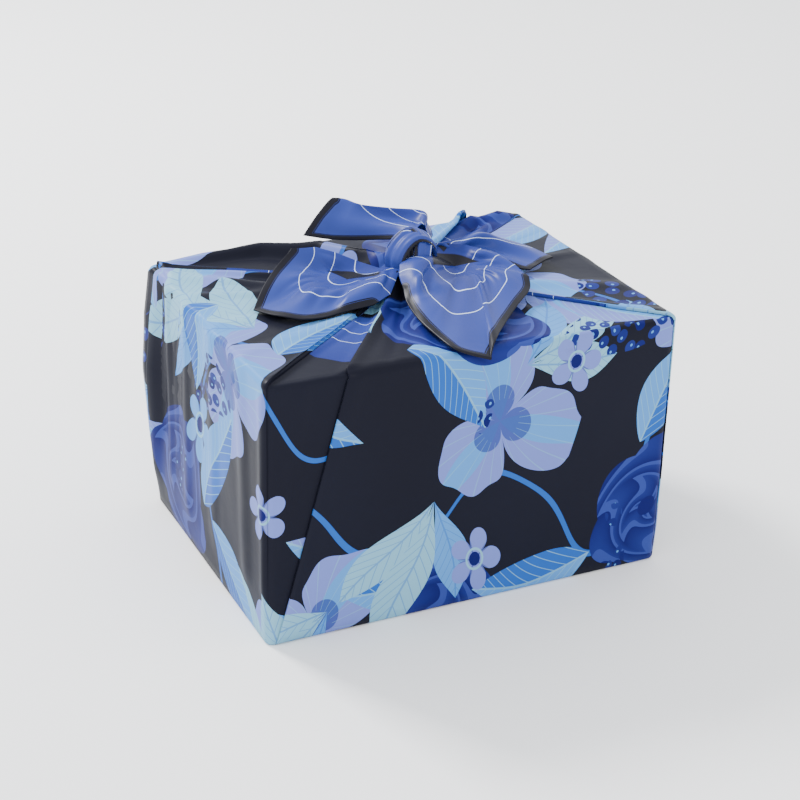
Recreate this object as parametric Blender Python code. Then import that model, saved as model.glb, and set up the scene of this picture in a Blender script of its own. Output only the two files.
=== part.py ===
"""Furoshiki wrap on a box: one tied square of cloth round a plain closed carton.

Metres, +Z up. The origin is the centre of the bottom. The wide front face looks to -Y, the
short left face to -X. Tables are in millimetres; MM turns them into metres.
"""

import math

import bmesh
import bpy
from mathutils import Matrix, Vector

MM = 0.001

WRAP_W = 300.0
WRAP_D = 224.0
WRAP_H = 188.4
SURFACE_INSET = 1.0
CLOTH = 1.6
TAIL_CLOTH = 1.3
BOTTOM_ROUND = 3.0
TOP_ROUND = 3.6
CORNER_ROUND = 6.0
HALF_W = WRAP_W / 2 - SURFACE_INSET
HALF_D = WRAP_D / 2 - SURFACE_INSET
TOP_Z = WRAP_H - SURFACE_INSET

KNOT_X = 4.0
KNOT_Y = 6.0
KNOT_CORE_UP = 24.0
KNOT_CORE_RADII = (12.0, 11.5, 13.0)
NECK_RADIUS = 11.0
NECK_STEEP_RISE = 16.0
NECK_STEEP_REACH = 14.0
NECK_BROAD_RISE = 5.0
NECK_BROAD_REACH = 45.0
THROAT_RADIUS = 8.4
SLOT_LOW = (-17.0, 1.0, WRAP_H + 4.0)
SLOT_HIGH = (-7.0, 8.0, WRAP_H + 13.0)

FOOT_FADE = 30.0
FOOT_SHARE = 0.35
NECK_FADE = 7.0
NECK_SHARE = 0.4
LEAST_WALL_LIFT = 0.2
LEAST_TOP_LIFT = 0.1
INNER_FOLLOW = 0.7
INNER_RISE = 0.97
INNER_SAG = 0.4

BOX_GAP_SIDE = 2.2
BOX_GAP_BOTTOM = 0.3
BOX_CORNER = 1.5
BOX_CORNER_SEGMENTS = 2

# Share of a rounding's radius between the sharp corner and the middle of the round, seen from one side.
MID_ROUND = 1.0 - math.sqrt(0.5)

WRAP_COLOUR = (0.09, 0.13, 0.32)
CARTON_COLOUR = (0.55, 0.42, 0.28)

# Perimeter positions run from the front left corner round the front, right, back and left.
SIDE_STARTS = (0.0, WRAP_W, WRAP_W + WRAP_D, 2 * WRAP_W + WRAP_D)
PERIMETER = 2 * (WRAP_W + WRAP_D)

# name, place on the bottom edge, place on the top edge, angle at the neck, wall lift, top lift,
# number of strips to the next row
COLUMNS = (
    ("front left corner", 0.4, 0.4, 190.0, 0.8, 0.4, 3),
    ("dog ear middle", 2.6, 30.0, 197.0, 0.7, 0.5, 2),
    ("dog ear end", 5.0, 55.4, 203.5, 0.5, 0.6, 1),
    ("front fold lip", 5.3, 56.0, 204.0, 2.9, 3.3, 1),
    ("front fold crown", 9.0, 60.5, 207.0, 3.0, 3.4, 2),
    ("front panel start", 26.0, 78.0, 216.0, 2.0, 2.4, 4),
    ("front panel left", 80.0, 120.0, 238.0, 1.2, 1.4, 5),
    ("front panel middle", 150.0, 172.0, 268.0, 0.8, 1.0, 7),
    ("front panel right", 294.0, 295.5, 334.0, 0.8, 0.4, 1),
    ("right fold lip", 294.4, 296.1, 334.5, 0.8, 3.2, 1),
    ("right fold crown", 301.0, 302.0, 338.0, 0.8, 3.2, 2),
    ("right panel start", 322.0, 324.0, 347.0, 0.8, 1.8, 4),
    ("right panel end", 420.0, 420.0, 372.0, 0.8, 1.0, 5),
    ("back right corner", 524.0, 524.0, 401.0, 0.8, 0.5, 3),
    ("back ear end", 529.0, 573.0, 414.0, 0.5, 0.6, 1),
    ("back fold lip", 529.3, 573.6, 414.6, 2.8, 2.8, 1),
    ("back fold crown", 534.0, 578.0, 418.0, 2.8, 2.8, 2),
    ("back panel start", 556.0, 600.0, 428.0, 1.6, 1.8, 5),
    ("back panel middle", 680.0, 700.0, 462.0, 0.9, 1.0, 4),
    ("back panel left", 790.0, 792.0, 496.0, 0.8, 0.9, 4),
    ("back left corner", 822.0, 820.0, 505.0, 0.8, 0.8, 6),
    ("left panel start", 872.0, 874.0, 520.0, 0.8, 1.2, 8),
    ("left panel middle", 960.0, 962.0, 538.0, 0.8, 1.4, 5),
    ("left panel end", 1042.0, 1042.0, 548.5, 0.8, 2.6, 1),
    ("left fold lip", 1047.2, 1047.2, 549.4, 0.9, 2.8, 1),
)

# A fold is a line of points: x, y, half width, height.
TOP_FOLDS = (
    ((-92.0, -108.0, 9.0, 1.0), (-14.0, -8.0, 7.0, 5.5)),
    ((-62.0, -104.0, 7.0, -0.6), (-5.0, -14.0, 6.0, -3.5)),
    ((-38.0, -104.0, 12.0, 0.8), (2.0, -16.0, 8.0, 5.5)),
    ((-8.0, -96.0, 9.0, -0.4), (10.0, -18.0, 6.0, -3.0)),
    ((26.0, -90.0, 12.0, 0.6), (16.0, -14.0, 8.0, 4.5)),
    ((74.0, -80.0, 14.0, 0.8), (22.0, -12.0, 8.0, 4.0)),
    ((148.0, -104.0, 8.0, 0.6), (30.0, -14.0, 8.0, 3.5)),
    ((140.0, -48.0, 13.0, 0.8), (28.0, -2.0, 8.0, 4.0)),
    ((144.0, 20.0, 10.0, 0.6), (28.0, 10.0, 7.0, 4.5)),
    ((142.0, 72.0, 12.0, 1.2), (26.0, 18.0, 7.0, 5.0)),
    ((128.0, 104.0, 8.0, 2.6), (22.0, 24.0, 7.0, 7.0)),
    ((98.0, 106.0, 9.0, 6.0), (14.0, 26.0, 8.0, 9.0)),
    ((60.0, 106.0, 12.0, 0.8), (8.0, 28.0, 7.0, 3.0)),
    ((10.0, 106.0, 14.0, 1.0), (2.0, 28.0, 8.0, 4.0)),
    ((-44.0, 106.0, 12.0, 0.8), (-4.0, 26.0, 8.0, 4.0)),
    ((-146.0, 107.0, 6.0, 2.0), (-112.0, 107.0, 9.0, 5.0), (-69.0, 103.0, 11.0, 8.0),
     (-33.0, 79.0, 13.0, 10.5), (-14.0, 41.0, 13.0, 10.5), (-4.0, 16.0, 8.0, 6.0)),
    ((92.0, 100.0, 11.0, 5.0), (122.0, 105.0, 9.0, 6.0), (146.0, 108.0, 6.0, 1.5)),
    ((-146.0, 107.0, 4.0, 2.4), (-20.0, 22.0, 7.0, 5.0)),
    ((-146.0, 100.0, 3.0, -1.2), (-60.0, 46.0, 4.0, -2.0)),
    ((-146.0, 96.0, 4.0, 2.0), (-22.0, 16.0, 6.0, 4.5)),
    ((-147.0, 84.0, 4.0, -1.0), (-96.0, 50.0, 5.0, -1.4)),
    ((-147.0, 88.0, 9.0, 2.4), (-111.0, 54.0, 13.0, 4.2), (-60.0, 14.0, 12.0, 2.4)),
    ((-147.0, 44.0, 9.0, 1.2), (-30.0, 8.0, 8.0, 3.0)),
    ((-147.0, -10.0, 12.0, 1.0), (-34.0, -6.0, 8.0, 2.4)),
    ((-147.0, -62.0, 10.0, 0.8), (-60.0, -34.0, 8.0, 2.0)),
    ((-144.0, -104.0, 4.0, 1.0), (-60.0, -42.0, 6.0, 2.2)),
)

# A wall fold is a line of points: place on the perimeter, height, half width, lift.
WALL_FOLDS = (
    ((204.0, 186.0, 9.0, 1.3), (214.0, 158.0, 10.0, 1.2), (232.0, 134.0, 10.0, 0.3)),
    ((150.0, 184.0, 13.0, 0.6), (146.0, 96.0, 13.0, 0.4)),
    ((62.0, 184.0, 9.0, 1.0), (26.0, 60.0, 9.0, 0.4)),
    ((24.0, 180.0, 9.0, 1.4), (8.0, 60.0, 9.0, 0.4)),
    ((340.0, 184.0, 14.0, 1.2), (330.0, 40.0, 14.0, 0.4)),
    ((420.0, 184.0, 18.0, 1.0), (424.0, 60.0, 18.0, 0.3)),
    ((486.0, 184.0, 14.0, 1.3), (494.0, 40.0, 14.0, 0.4)),
    ((640.0, 184.0, 16.0, 1.0), (620.0, 50.0, 16.0, 0.3)),
    ((730.0, 184.0, 18.0, 1.1), (736.0, 50.0, 18.0, 0.3)),
    ((824.0, 186.0, 16.0, 3.2), (824.0, 152.0, 24.0, 7.0), (824.0, 112.0, 28.0, 9.5),
     (824.0, 60.0, 26.0, 6.5), (824.0, 8.0, 18.0, 1.0)),
    ((842.0, 182.0, 6.0, 1.0), (838.0, 60.0, 6.0, 1.0)),
    ((853.0, 186.0, 6.0, -1.8), (850.0, 70.0, 6.0, -1.2)),
    ((866.0, 184.0, 9.0, 2.4), (862.0, 40.0, 9.0, 1.2)),
    ((884.0, 186.0, 7.0, -1.8), (880.0, 60.0, 7.0, -0.8)),
    ((902.0, 184.0, 12.0, 2.6), (896.0, 30.0, 12.0, 1.0)),
    ((929.0, 186.0, 8.0, -1.4), (926.0, 80.0, 8.0, -0.5)),
    ((952.0, 184.0, 14.0, 2.0), (950.0, 40.0, 14.0, 0.8)),
    ((1004.0, 184.0, 14.0, 1.6), (1012.0, 40.0, 14.0, 1.4)),
    ((1040.0, 176.0, 8.0, 1.2), (1043.0, 40.0, 8.0, 1.2)),
)

WALL_SHARES = (0.0, 0.12, 0.28, 0.45, 0.62, 0.77, 0.90, 1.0)
TOP_SHARES = (0.0, 0.05, 0.13, 0.23, 0.34, 0.46, 0.57, 0.67, 0.76, 0.84, 0.91, 0.96, 1.0)
INNER_TOP_SHARES = (1.0, 0.91, 0.72, 0.35, 0.0)
ROUND_DEGREES = (30.0, 60.0)

# A curled tail is a ring of sections round its hollow. Columns: bearing, reach and height of the
# outer edge, bearing, reach and height of the hollow's rim, swell upwards, swell away from the knot.
# Bearings are in degrees from +X, reaches are from the middle of the hollow, heights are over the top.
LEFT_TAIL_HOLLOW = (-41.0, 11.0, 6.0)
LEFT_TAIL = (
    (290.0, 42.0, 12.0, 293.0, 30.0, 18.0, 1.0, 3.0),
    (269.0, 46.0, 9.0, 275.0, 27.0, 18.0, 1.0, 3.0),
    (250.0, 48.0, 7.0, 250.0, 28.0, 15.0, 1.0, 3.0),
    (232.0, 56.0, 5.0, 225.0, 32.0, 13.0, 0.0, 1.0),
    (219.0, 67.0, 5.0, 206.0, 34.0, 13.0, -1.0, 1.0),
    (205.0, 72.0, 5.0, 193.0, 34.0, 14.0, -1.0, 1.0),
    (191.0, 76.0, 5.0, 184.0, 33.0, 14.0, -1.0, 0.0),
    (178.0, 62.0, 11.0, 174.0, 30.0, 14.0, -1.0, 0.0),
    (160.0, 50.0, 18.0, 158.0, 25.0, 14.0, 0.0, 0.0),
    (136.0, 41.0, 27.0, 135.0, 20.0, 14.0, 0.0, 0.0),
    (112.0, 31.0, 25.0, 112.0, 17.0, 13.0, 0.0, 0.0),
    (85.0, 23.0, 21.0, 85.0, 13.0, 12.0, 0.0, 0.0),
    (40.0, 20.0, 16.0, 40.0, 12.0, 12.0, 0.0, 0.0),
    (0.0, 24.0, 15.0, 350.0, 16.0, 13.0, 0.0, 0.0),
    (340.0, 38.0, 21.0, 335.0, 24.0, 16.0, 0.0, 0.0),
)
FRONT_TAIL_HOLLOW = (36.0, -1.0, 6.0)
FRONT_TAIL = (
    (190.0, 48.0, 24.0, 204.0, 28.0, 27.0, 3.0, 4.0),
    (199.0, 55.0, 20.0, 214.0, 35.0, 24.0, 3.0, 8.0),
    (209.0, 62.0, 15.0, 219.0, 42.0, 21.0, 2.0, 9.0),
    (216.0, 71.0, 11.0, 228.0, 48.0, 18.0, 1.0, 6.0),
    (228.0, 90.0, 8.0, 235.0, 44.0, 16.0, 1.0, 2.0),
    (237.0, 108.0, 6.0, 243.0, 36.0, 15.0, 1.0, 0.0),
    (244.0, 125.0, 5.0, 256.0, 33.0, 15.0, 1.0, 0.0),
    (254.0, 127.0, -2.0, 268.0, 31.0, 14.0, 2.0, 2.0),
    (257.0, 112.0, 5.0, 277.0, 31.0, 14.0, 1.0, 0.0),
    (265.0, 89.0, 6.0, 286.0, 32.0, 14.0, 1.0, 0.0),
    (280.0, 70.0, 8.0, 295.0, 31.0, 15.0, 1.0, 0.0),
    (301.0, 60.0, 10.0, 302.0, 27.0, 16.0, 2.0, 0.0),
    (313.0, 54.0, 15.0, 312.0, 24.0, 17.0, 2.0, 0.0),
    (325.0, 42.0, 18.0, 328.0, 22.0, 17.0, 2.0, 0.0),
    (350.0, 28.0, 21.0, 350.0, 17.0, 17.0, 1.0, 0.0),
    (40.0, 18.0, 23.0, 40.0, 12.0, 18.0, 0.0, 0.0),
    (100.0, 17.0, 25.0, 110.0, 11.0, 20.0, 0.0, 0.0),
    (172.0, 32.0, 27.0, 165.0, 20.0, 25.0, 0.0, 0.0),
)

# The right tail is a sheet, from the knot to its free end. Columns: x, y and height of its middle
# line, width, bearing of the upper border from it, tilt of the section in degrees, swell.
RIGHT_TAIL = (
    (15.0, 6.0, 25.0, 15.0, 230.0, 52.0, 1.0),
    (46.0, 18.0, 17.0, 16.0, 160.0, 74.0, 1.0),
    (69.0, 24.0, 15.0, 23.0, 75.0, 37.0, 3.0),
    (83.0, 18.0, 11.0, 33.0, 68.0, 14.0, 3.0),
    (96.0, 8.0, 8.0, 37.0, 52.0, 5.0, 2.0),
    (103.0, -5.0, 7.0, 29.0, 27.0, 2.0, 1.0),
)

# The back tail stands as a ridge, from the knot to its free end. Columns: x, y and height of its
# crest, bearing of the front border, then reach and drop to the front and to the back border.
BACK_TAIL = (
    (19.0, 18.0, 40.0, 200.0, 18.0, 7.0, 8.0, 14.0),
    (27.0, 34.0, 43.0, 207.0, 28.0, 13.0, 9.0, 18.0),
    (7.0, 47.0, 44.0, 213.0, 17.0, 19.0, 9.0, 20.0),
    (-9.0, 59.0, 45.0, 214.0, 14.0, 23.0, 10.0, 22.0),
    (-17.0, 70.0, 46.0, 208.0, 19.0, 25.0, 12.0, 22.0),
    (-25.0, 75.0, 46.0, 192.0, 25.0, 23.0, 14.0, 20.0),
)
CREST_SWELL = 2.0

# Mesh steps: per section round and inwards on a curled tail, along and across on the other two.
CUP_AROUND = 2
CUP_INWARD = 9
SHEET_POINTS = 5
SHEET_ALONG = 12
RIGHT_ACROSS = 6
BACK_ACROSS = 10

# Knot band points round the knot from its lower left, over the top, to its lower right.
KNOT_BAND = (
    (-8.0, 2.0, 12.0), (-10.0, 1.0, 24.0), (-4.0, 3.0, 33.0), (5.0, 4.0, 38.0),
    (14.0, 5.0, 35.0), (19.0, 7.0, 27.0), (19.0, 9.0, 15.0),
)
KNOT_UNDER_BAND = (
    (-6.0, 14.0, 14.0), (-6.0, 16.0, 26.0), (2.0, 16.0, 35.0), (10.0, 12.0, 38.0),
    (12.0, 2.0, 36.0), (8.0, -6.0, 29.0), (6.0, -9.0, 16.0),
)
BAND_HALF_WIDTH = 7.0
BAND_HALF_THICKNESS = 3.2
UNDER_BAND_HALF_WIDTH = 5.5
UNDER_BAND_HALF_THICKNESS = 2.6
BAND_HEART_UP = 22.0
BAND_STEPS = 3
BAND_SIDES = 8
BAND_TANGENT_STEP = 0.05
CORE_SEGMENTS = 14
CORE_RINGS = 8


def clear_scene():
    """Empty the file."""
    for item in list(bpy.data.objects):
        bpy.data.objects.remove(item, do_unlink=True)


def fabric_material(name, colour):
    """Plain material for one object."""
    material = bpy.data.materials.new(name)
    material.use_nodes = True
    shader = material.node_tree.nodes["Principled BSDF"]
    shader.inputs["Base Color"].default_value = (*colour, 1.0)
    shader.inputs["Roughness"].default_value = 0.6
    return material


def smooth_bump(distance, half_width):
    """Cosine hump of height one that reaches zero at the half width."""
    if distance >= half_width:
        return 0.0
    return 0.5 + 0.5 * math.cos(math.pi * distance / half_width)


def fold_sum(folds, a, b):
    """Height added at a plane point by folds that change in width and height along their lines."""
    total = 0.0
    for fold in folds:
        heights = [0.0]
        for (a1, b1, w1, h1), (a2, b2, w2, h2) in zip(fold, fold[1:]):
            da, db = a2 - a1, b2 - b1
            share = ((a - a1) * da + (b - b1) * db) / (da * da + db * db)
            share = min(1.0, max(0.0, share))
            distance = math.hypot(a - a1 - share * da, b - b1 - share * db)
            heights.append((h1 + (h2 - h1) * share) * smooth_bump(distance, w1 + (w2 - w1) * share))
        total += max(heights, key=abs)
    return total


def wall_fold(place, height):
    """Outward lift of the wall folds, with the perimeter joined end to end."""
    return sum(fold_sum(WALL_FOLDS, place + turn, height) for turn in (-PERIMETER, 0.0, PERIMETER))


def rim_point(place, half_w, half_d, radius):
    """Point and outward direction on a rounded rectangle at a perimeter position."""
    place = place % PERIMETER
    side = max(i for i in range(4) if place >= SIDE_STARTS[i] - 1e-9)
    length = WRAP_W if side % 2 == 0 else WRAP_D
    s = place - SIDE_STARTS[side]
    half = (half_w, half_d)[side % 2]
    out = (half_d, half_w)[side % 2]
    s = (s - length / 2) * half / (length / 2)
    along = min(half - radius, max(-half + radius, s))
    turn = (s - along) / radius * math.pi / 4
    local = (along + radius * math.sin(turn), out - radius + radius * math.cos(turn))
    normal = (math.sin(turn), math.cos(turn))
    spin = ((1, 0, 0, -1), (0, 1, 1, 0), (-1, 0, 0, 1), (0, -1, -1, 0))[side]
    x = local[0] * spin[0] + local[1] * spin[1]
    y = local[0] * spin[2] + local[1] * spin[3]
    nx = normal[0] * spin[0] + normal[1] * spin[1]
    ny = normal[0] * spin[2] + normal[1] * spin[3]
    return x, y, nx, ny


def column_rows():
    """Spread the column table into single columns by straight interpolation."""
    columns = []
    for row, following in zip(COLUMNS, COLUMNS[1:]):
        here, there, steps = row[1:6], following[1:6], row[6]
        for step in range(steps):
            columns.append(tuple(h + (t - h) * step / steps for h, t in zip(here, there)))
    columns.append(COLUMNS[-1][1:6])
    return columns


def neck_rise(distance):
    """Height of the gathered cloth over the top plane at a distance from the neck."""
    steep = NECK_STEEP_RISE * math.exp(-distance / NECK_STEEP_REACH)
    return steep + NECK_BROAD_RISE * math.exp(-distance / NECK_BROAD_REACH)


def outer_column(bottom_place, top_place, neck_degrees, wall_lift, top_lift):
    """Outer surface points of one column from under the wrap to the neck."""
    points = []
    x, y, nx, ny = rim_point(bottom_place, HALF_W, HALF_D, CORNER_ROUND)
    points.append((x - nx * BOTTOM_ROUND, y - ny * BOTTOM_ROUND, 0.0))
    cut = BOTTOM_ROUND * MID_ROUND
    points.append((x - nx * cut, y - ny * cut, cut))
    low, high = BOTTOM_ROUND, TOP_Z - TOP_ROUND
    for share in WALL_SHARES:
        height = low + (high - low) * share
        place = bottom_place + (top_place - bottom_place) * height / WRAP_H
        x, y, nx, ny = rim_point(place, HALF_W, HALF_D, CORNER_ROUND)
        fade = min(1.0, height / FOOT_FADE)
        lift = wall_lift * (FOOT_SHARE + (1.0 - FOOT_SHARE) * fade) + wall_fold(place, height) * fade
        lift = max(LEAST_WALL_LIFT, lift)
        points.append((x + nx * lift, y + ny * lift, height))
    x, y, nx, ny = rim_point(top_place, HALF_W, HALF_D, CORNER_ROUND)
    edge_lift = max(LEAST_WALL_LIFT, wall_lift + wall_fold(top_place, high))
    for degrees in ROUND_DEGREES:
        angle = math.radians(degrees)
        share = degrees / 90.0
        lift = edge_lift + (top_lift - edge_lift) * share
        out = -TOP_ROUND + (TOP_ROUND + lift) * math.cos(angle)
        points.append((x + nx * out, y + ny * out, high + (TOP_ROUND + lift) * math.sin(angle)))
    start_x, start_y = x - nx * TOP_ROUND, y - ny * TOP_ROUND
    angle = math.radians(neck_degrees)
    end_x = KNOT_X + NECK_RADIUS * math.cos(angle)
    end_y = KNOT_Y + NECK_RADIUS * math.sin(angle)
    length = math.hypot(end_x - start_x, end_y - start_y)
    for share in TOP_SHARES:
        px = start_x + (end_x - start_x) * share
        py = start_y + (end_y - start_y) * share
        calm = min(1.0, (1.0 - share) * length / NECK_FADE)
        lift = top_lift * (NECK_SHARE + (1.0 - NECK_SHARE) * calm) + fold_sum(TOP_FOLDS, px, py) * calm
        rise = neck_rise((1.0 - share) * length)
        points.append((px, py, TOP_Z + rise + max(LEAST_TOP_LIFT, lift)))
    return points


def inner_column(bottom_place, top_place, neck_degrees):
    """Inner surface points of one column, from the neck downwards, bulging with the wall's folds."""
    points = []
    inner_w, inner_d, radius = HALF_W - CLOTH, HALF_D - CLOTH, CORNER_ROUND - CLOTH
    x, y, nx, ny = rim_point(top_place, inner_w, inner_d, radius)
    angle = math.radians(neck_degrees)
    end_x = KNOT_X + THROAT_RADIUS * math.cos(angle)
    end_y = KNOT_Y + THROAT_RADIUS * math.sin(angle)
    edge = TOP_ROUND - CLOTH
    start_x, start_y = x - nx * edge, y - ny * edge
    length = math.hypot(end_x - start_x, end_y - start_y)
    for share in INNER_TOP_SHARES:
        px = start_x + (end_x - start_x) * share
        py = start_y + (end_y - start_y) * share
        rise = neck_rise((1.0 - share) * length) - (1.0 - share) ** 2 * INNER_SAG
        points.append((px, py, TOP_Z - CLOTH + rise * INNER_RISE))
    cut = edge * MID_ROUND
    points.append((x - nx * cut, y - ny * cut, TOP_Z - CLOTH - cut))
    points.append((x, y, TOP_Z - TOP_ROUND))
    height = (BOTTOM_ROUND + TOP_Z - TOP_ROUND) * 0.5
    place = bottom_place + (top_place - bottom_place) * height / WRAP_H
    x, y, nx, ny = rim_point(place, inner_w, inner_d, radius)
    follow = max(0.0, wall_fold(place, height)) * INNER_FOLLOW
    points.append((x + nx * follow, y + ny * follow, height))
    x, y, nx, ny = rim_point(bottom_place, inner_w, inner_d, radius)
    points.append((x, y, BOTTOM_ROUND))
    foot = BOTTOM_ROUND - CLOTH
    points.append((x - nx * foot, y - ny * foot, CLOTH))
    return points


def new_object(name, mesh_builder):
    """Object whose mesh is filled by a function working on a bmesh."""
    mesh = bpy.data.meshes.new(name)
    work = bmesh.new()
    mesh_builder(work)
    bmesh.ops.triangulate(work, faces=work.faces)
    bmesh.ops.recalc_face_normals(work, faces=work.faces)
    work.to_mesh(mesh)
    work.free()
    item = bpy.data.objects.new(name, mesh)
    bpy.context.collection.objects.link(item)
    return item


def in_metres(point):
    """Millimetre table point as a vector in metres."""
    return Vector(point) * MM


def fill_body(work):
    """Closed cloth shell: outer folds, plain inside, joined round the neck."""
    rings = []
    for column in column_rows():
        points = outer_column(*column) + inner_column(*column[:3])
        rings.append([work.verts.new(in_metres(point)) for point in points])
    for ring, following in zip(rings, rings[1:] + rings[:1]):
        for low in range(len(ring) - 1):
            work.faces.new((ring[low], following[low], following[low + 1], ring[low + 1]))
    under = work.verts.new((0.0, 0.0, 0.0))
    inside = work.verts.new((0.0, 0.0, CLOTH * MM))
    for ring, following in zip(rings, rings[1:] + rings[:1]):
        work.faces.new((under, following[0], ring[0]))
        work.faces.new((inside, ring[-1], following[-1]))


def spline(points, share, closed):
    """Catmull-Rom value along a list of vectors; share runs from 0 to the number of spans."""
    count = len(points)
    index = int(math.floor(share))
    if not closed:
        index = min(index, count - 2)
    local = share - index

    def at(i):
        return points[i % count] if closed else points[min(count - 1, max(0, i))]

    p0, p1, p2, p3 = at(index - 1), at(index), at(index + 1), at(index + 2)
    return 0.5 * (
        2 * p1 + (p2 - p0) * local + (2 * p0 - 5 * p1 + 4 * p2 - p3) * local ** 2
        + (3 * p1 - p0 - 3 * p2 + p3) * local ** 3
    )


def tail_point(point):
    """Tail table point, with its height above the top plane, in metres."""
    return Vector((point[0], point[1], point[2] + WRAP_H)) * MM


def polar(centre, bearing, reach, height):
    """Point at a bearing in degrees and a reach from a centre, at a height over the top."""
    angle = math.radians(bearing)
    return Vector((centre[0] + reach * math.cos(angle), centre[1] + reach * math.sin(angle), height))


def cup_rows(table, hollow):
    """Points of each section of a curled tail, from its outer edge to the middle of its hollow."""
    rows = []
    middle_of_hollow = Vector(hollow)
    for edge_at, edge_reach, edge_up, rim_at, rim_reach, rim_up, swell_up, swell_out in table:
        edge = polar(hollow, edge_at, edge_reach, edge_up)
        rim = polar(hollow, rim_at, rim_reach, rim_up)
        middle = edge.lerp(rim, 0.5)
        away = Vector((middle.x - KNOT_X, middle.y - KNOT_Y, 0.0)).normalized()
        middle += away * swell_out + Vector((0.0, 0.0, swell_up))
        wall = rim.lerp(middle_of_hollow, 0.5)
        rows.append([tail_point(p) for p in (edge, middle, rim, wall, middle_of_hollow)])
    return rows


def sheet_rows(table):
    """Points of each section of the right tail, from its upper to its lower border."""
    rows = []
    for x, y, up, width, bearing, tilt, swell in table:
        angle, slope = math.radians(bearing), math.radians(tilt)
        level = math.cos(slope)
        across = Vector((math.cos(angle) * level, math.sin(angle) * level, math.sin(slope)))
        row = []
        for step in range(SHEET_POINTS):
            side = 1.0 - 2.0 * step / (SHEET_POINTS - 1)
            rise = Vector((0.0, 0.0, swell * (1.0 - side * side)))
            row.append(tail_point(Vector((x, y, up)) + across * side * width / 2 + rise))
        rows.append(row)
    return rows


def crest_rows(table):
    """Points of each section of the back tail, from its front border over the crest."""
    rows = []
    for x, y, up, bearing, front, front_drop, back, back_drop in table:
        crest = Vector((x, y, up))
        low = polar(crest, bearing, front, up - front_drop)
        foot = polar(crest, bearing, -back, up - back_drop)
        bulge = Vector((0.0, 0.0, CREST_SWELL))
        row = (low, low.lerp(crest, 0.5) + bulge, crest, crest.lerp(foot, 0.5) + bulge, foot)
        rows.append([tail_point(p) for p in row])
    return rows


def thicken(work, amount):
    """Give an open sheet in a bmesh an even thickness about its middle."""
    work.normal_update()
    sheet_verts = list(work.verts)
    sheet_faces = list(work.faces)
    border = [edge for edge in work.edges if len(edge.link_faces) == 1]
    offsets = {v: v.normal * amount * 0.5 for v in sheet_verts}
    upper = {v: work.verts.new(v.co + offsets[v]) for v in sheet_verts}
    for face in sheet_faces:
        work.faces.new([upper[v] for v in face.verts])
    for edge in border:
        a, b = edge.verts
        work.faces.new((a, b, upper[b], upper[a]))
    for face in sheet_faces:
        face.normal_flip()
    for vert in sheet_verts:
        vert.co -= offsets[vert]


def fill_cup(work, rows):
    """Curled tail: closed rings from the outer edge down into the hollow."""
    rings = []
    spans = len(rows[0]) - 1
    for k in range(len(rows) * CUP_AROUND):
        index, part = divmod(k, CUP_AROUND)
        edge = rows[index][0].lerp(rows[(index + 1) % len(rows)][0], part / CUP_AROUND)
        inner = [spline([row[c] for row in rows], k / CUP_AROUND, True) for c in range(1, spans)]
        controls = [edge, *inner, rows[index][-1]]
        rings.append([
            work.verts.new(spline(controls, spans * step / CUP_INWARD, False))
            for step in range(CUP_INWARD)
        ])
    middle = work.verts.new(rows[0][-1])
    for ring, following in zip(rings, rings[1:] + rings[:1]):
        for step in range(CUP_INWARD - 1):
            work.faces.new((ring[step], following[step], following[step + 1], ring[step + 1]))
        work.faces.new((ring[-1], following[-1], middle))
    thicken(work, TAIL_CLOTH * MM)


def fill_sheet(work, rows, across):
    """Tail without a hollow: an open sheet through its sections."""
    width = len(rows[0])
    grid = []
    for i in range(SHEET_ALONG + 1):
        share = (len(rows) - 1) * i / SHEET_ALONG
        controls = [spline([row[c] for row in rows], share, False) for c in range(width)]
        grid.append([
            work.verts.new(spline(controls, (width - 1) * j / across, False)) for j in range(across + 1)
        ])
    for i in range(SHEET_ALONG):
        for j in range(across):
            work.faces.new((grid[i][j], grid[i + 1][j], grid[i + 1][j + 1], grid[i][j + 1]))
    thicken(work, TAIL_CLOTH * MM)


def fill_band(work, path, half_width, half_thickness):
    """Rounded flat band swept round the knot, wide along the line through its middle."""
    points = [tail_point(p) for p in path]
    heart = tail_point((KNOT_X, KNOT_Y, BAND_HEART_UP))
    last = len(points) - 1
    rings = []
    for i in range(BAND_STEPS * last + 1):
        share = i / BAND_STEPS
        here = spline(points, share, False)
        ahead = spline(points, min(share + BAND_TANGENT_STEP, last), False)
        behind = spline(points, max(share - BAND_TANGENT_STEP, 0.0), False)
        tangent = (ahead - behind).normalized()
        out = here - heart
        out = (out - tangent * out.dot(tangent)).normalized()
        side = tangent.cross(out)
        ring = []
        for k in range(BAND_SIDES):
            turn = 2 * math.pi * k / BAND_SIDES
            offset = side * math.cos(turn) * half_width + out * math.sin(turn) * half_thickness
            ring.append(work.verts.new(here + offset * MM))
        rings.append(ring)
    for ring, following in zip(rings, rings[1:]):
        for k in range(BAND_SIDES):
            j = (k + 1) % BAND_SIDES
            work.faces.new((ring[k], ring[j], following[j], following[k]))
    work.faces.new(rings[0])
    work.faces.new(list(reversed(rings[-1])))


def add_ball(name, centre, radii):
    """Closed ellipsoid."""
    item = new_object(name, lambda work: bmesh.ops.create_uvsphere(
        work, u_segments=CORE_SEGMENTS, v_segments=CORE_RINGS, radius=1.0))
    scale = Matrix.Diagonal((radii[0] * MM, radii[1] * MM, radii[2] * MM, 1.0))
    item.data.transform(Matrix.Translation(tail_point(centre)) @ scale)
    return item


def add_block(name, low, high):
    """Closed block between two corners in millimetres."""
    item = new_object(name, lambda work: bmesh.ops.create_cube(work, size=1.0))
    middle = (in_metres(low) + in_metres(high)) * 0.5
    size = in_metres(high) - in_metres(low)
    item.data.transform(Matrix.Translation(middle) @ Matrix.Diagonal((*size, 1.0)))
    return item


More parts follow.
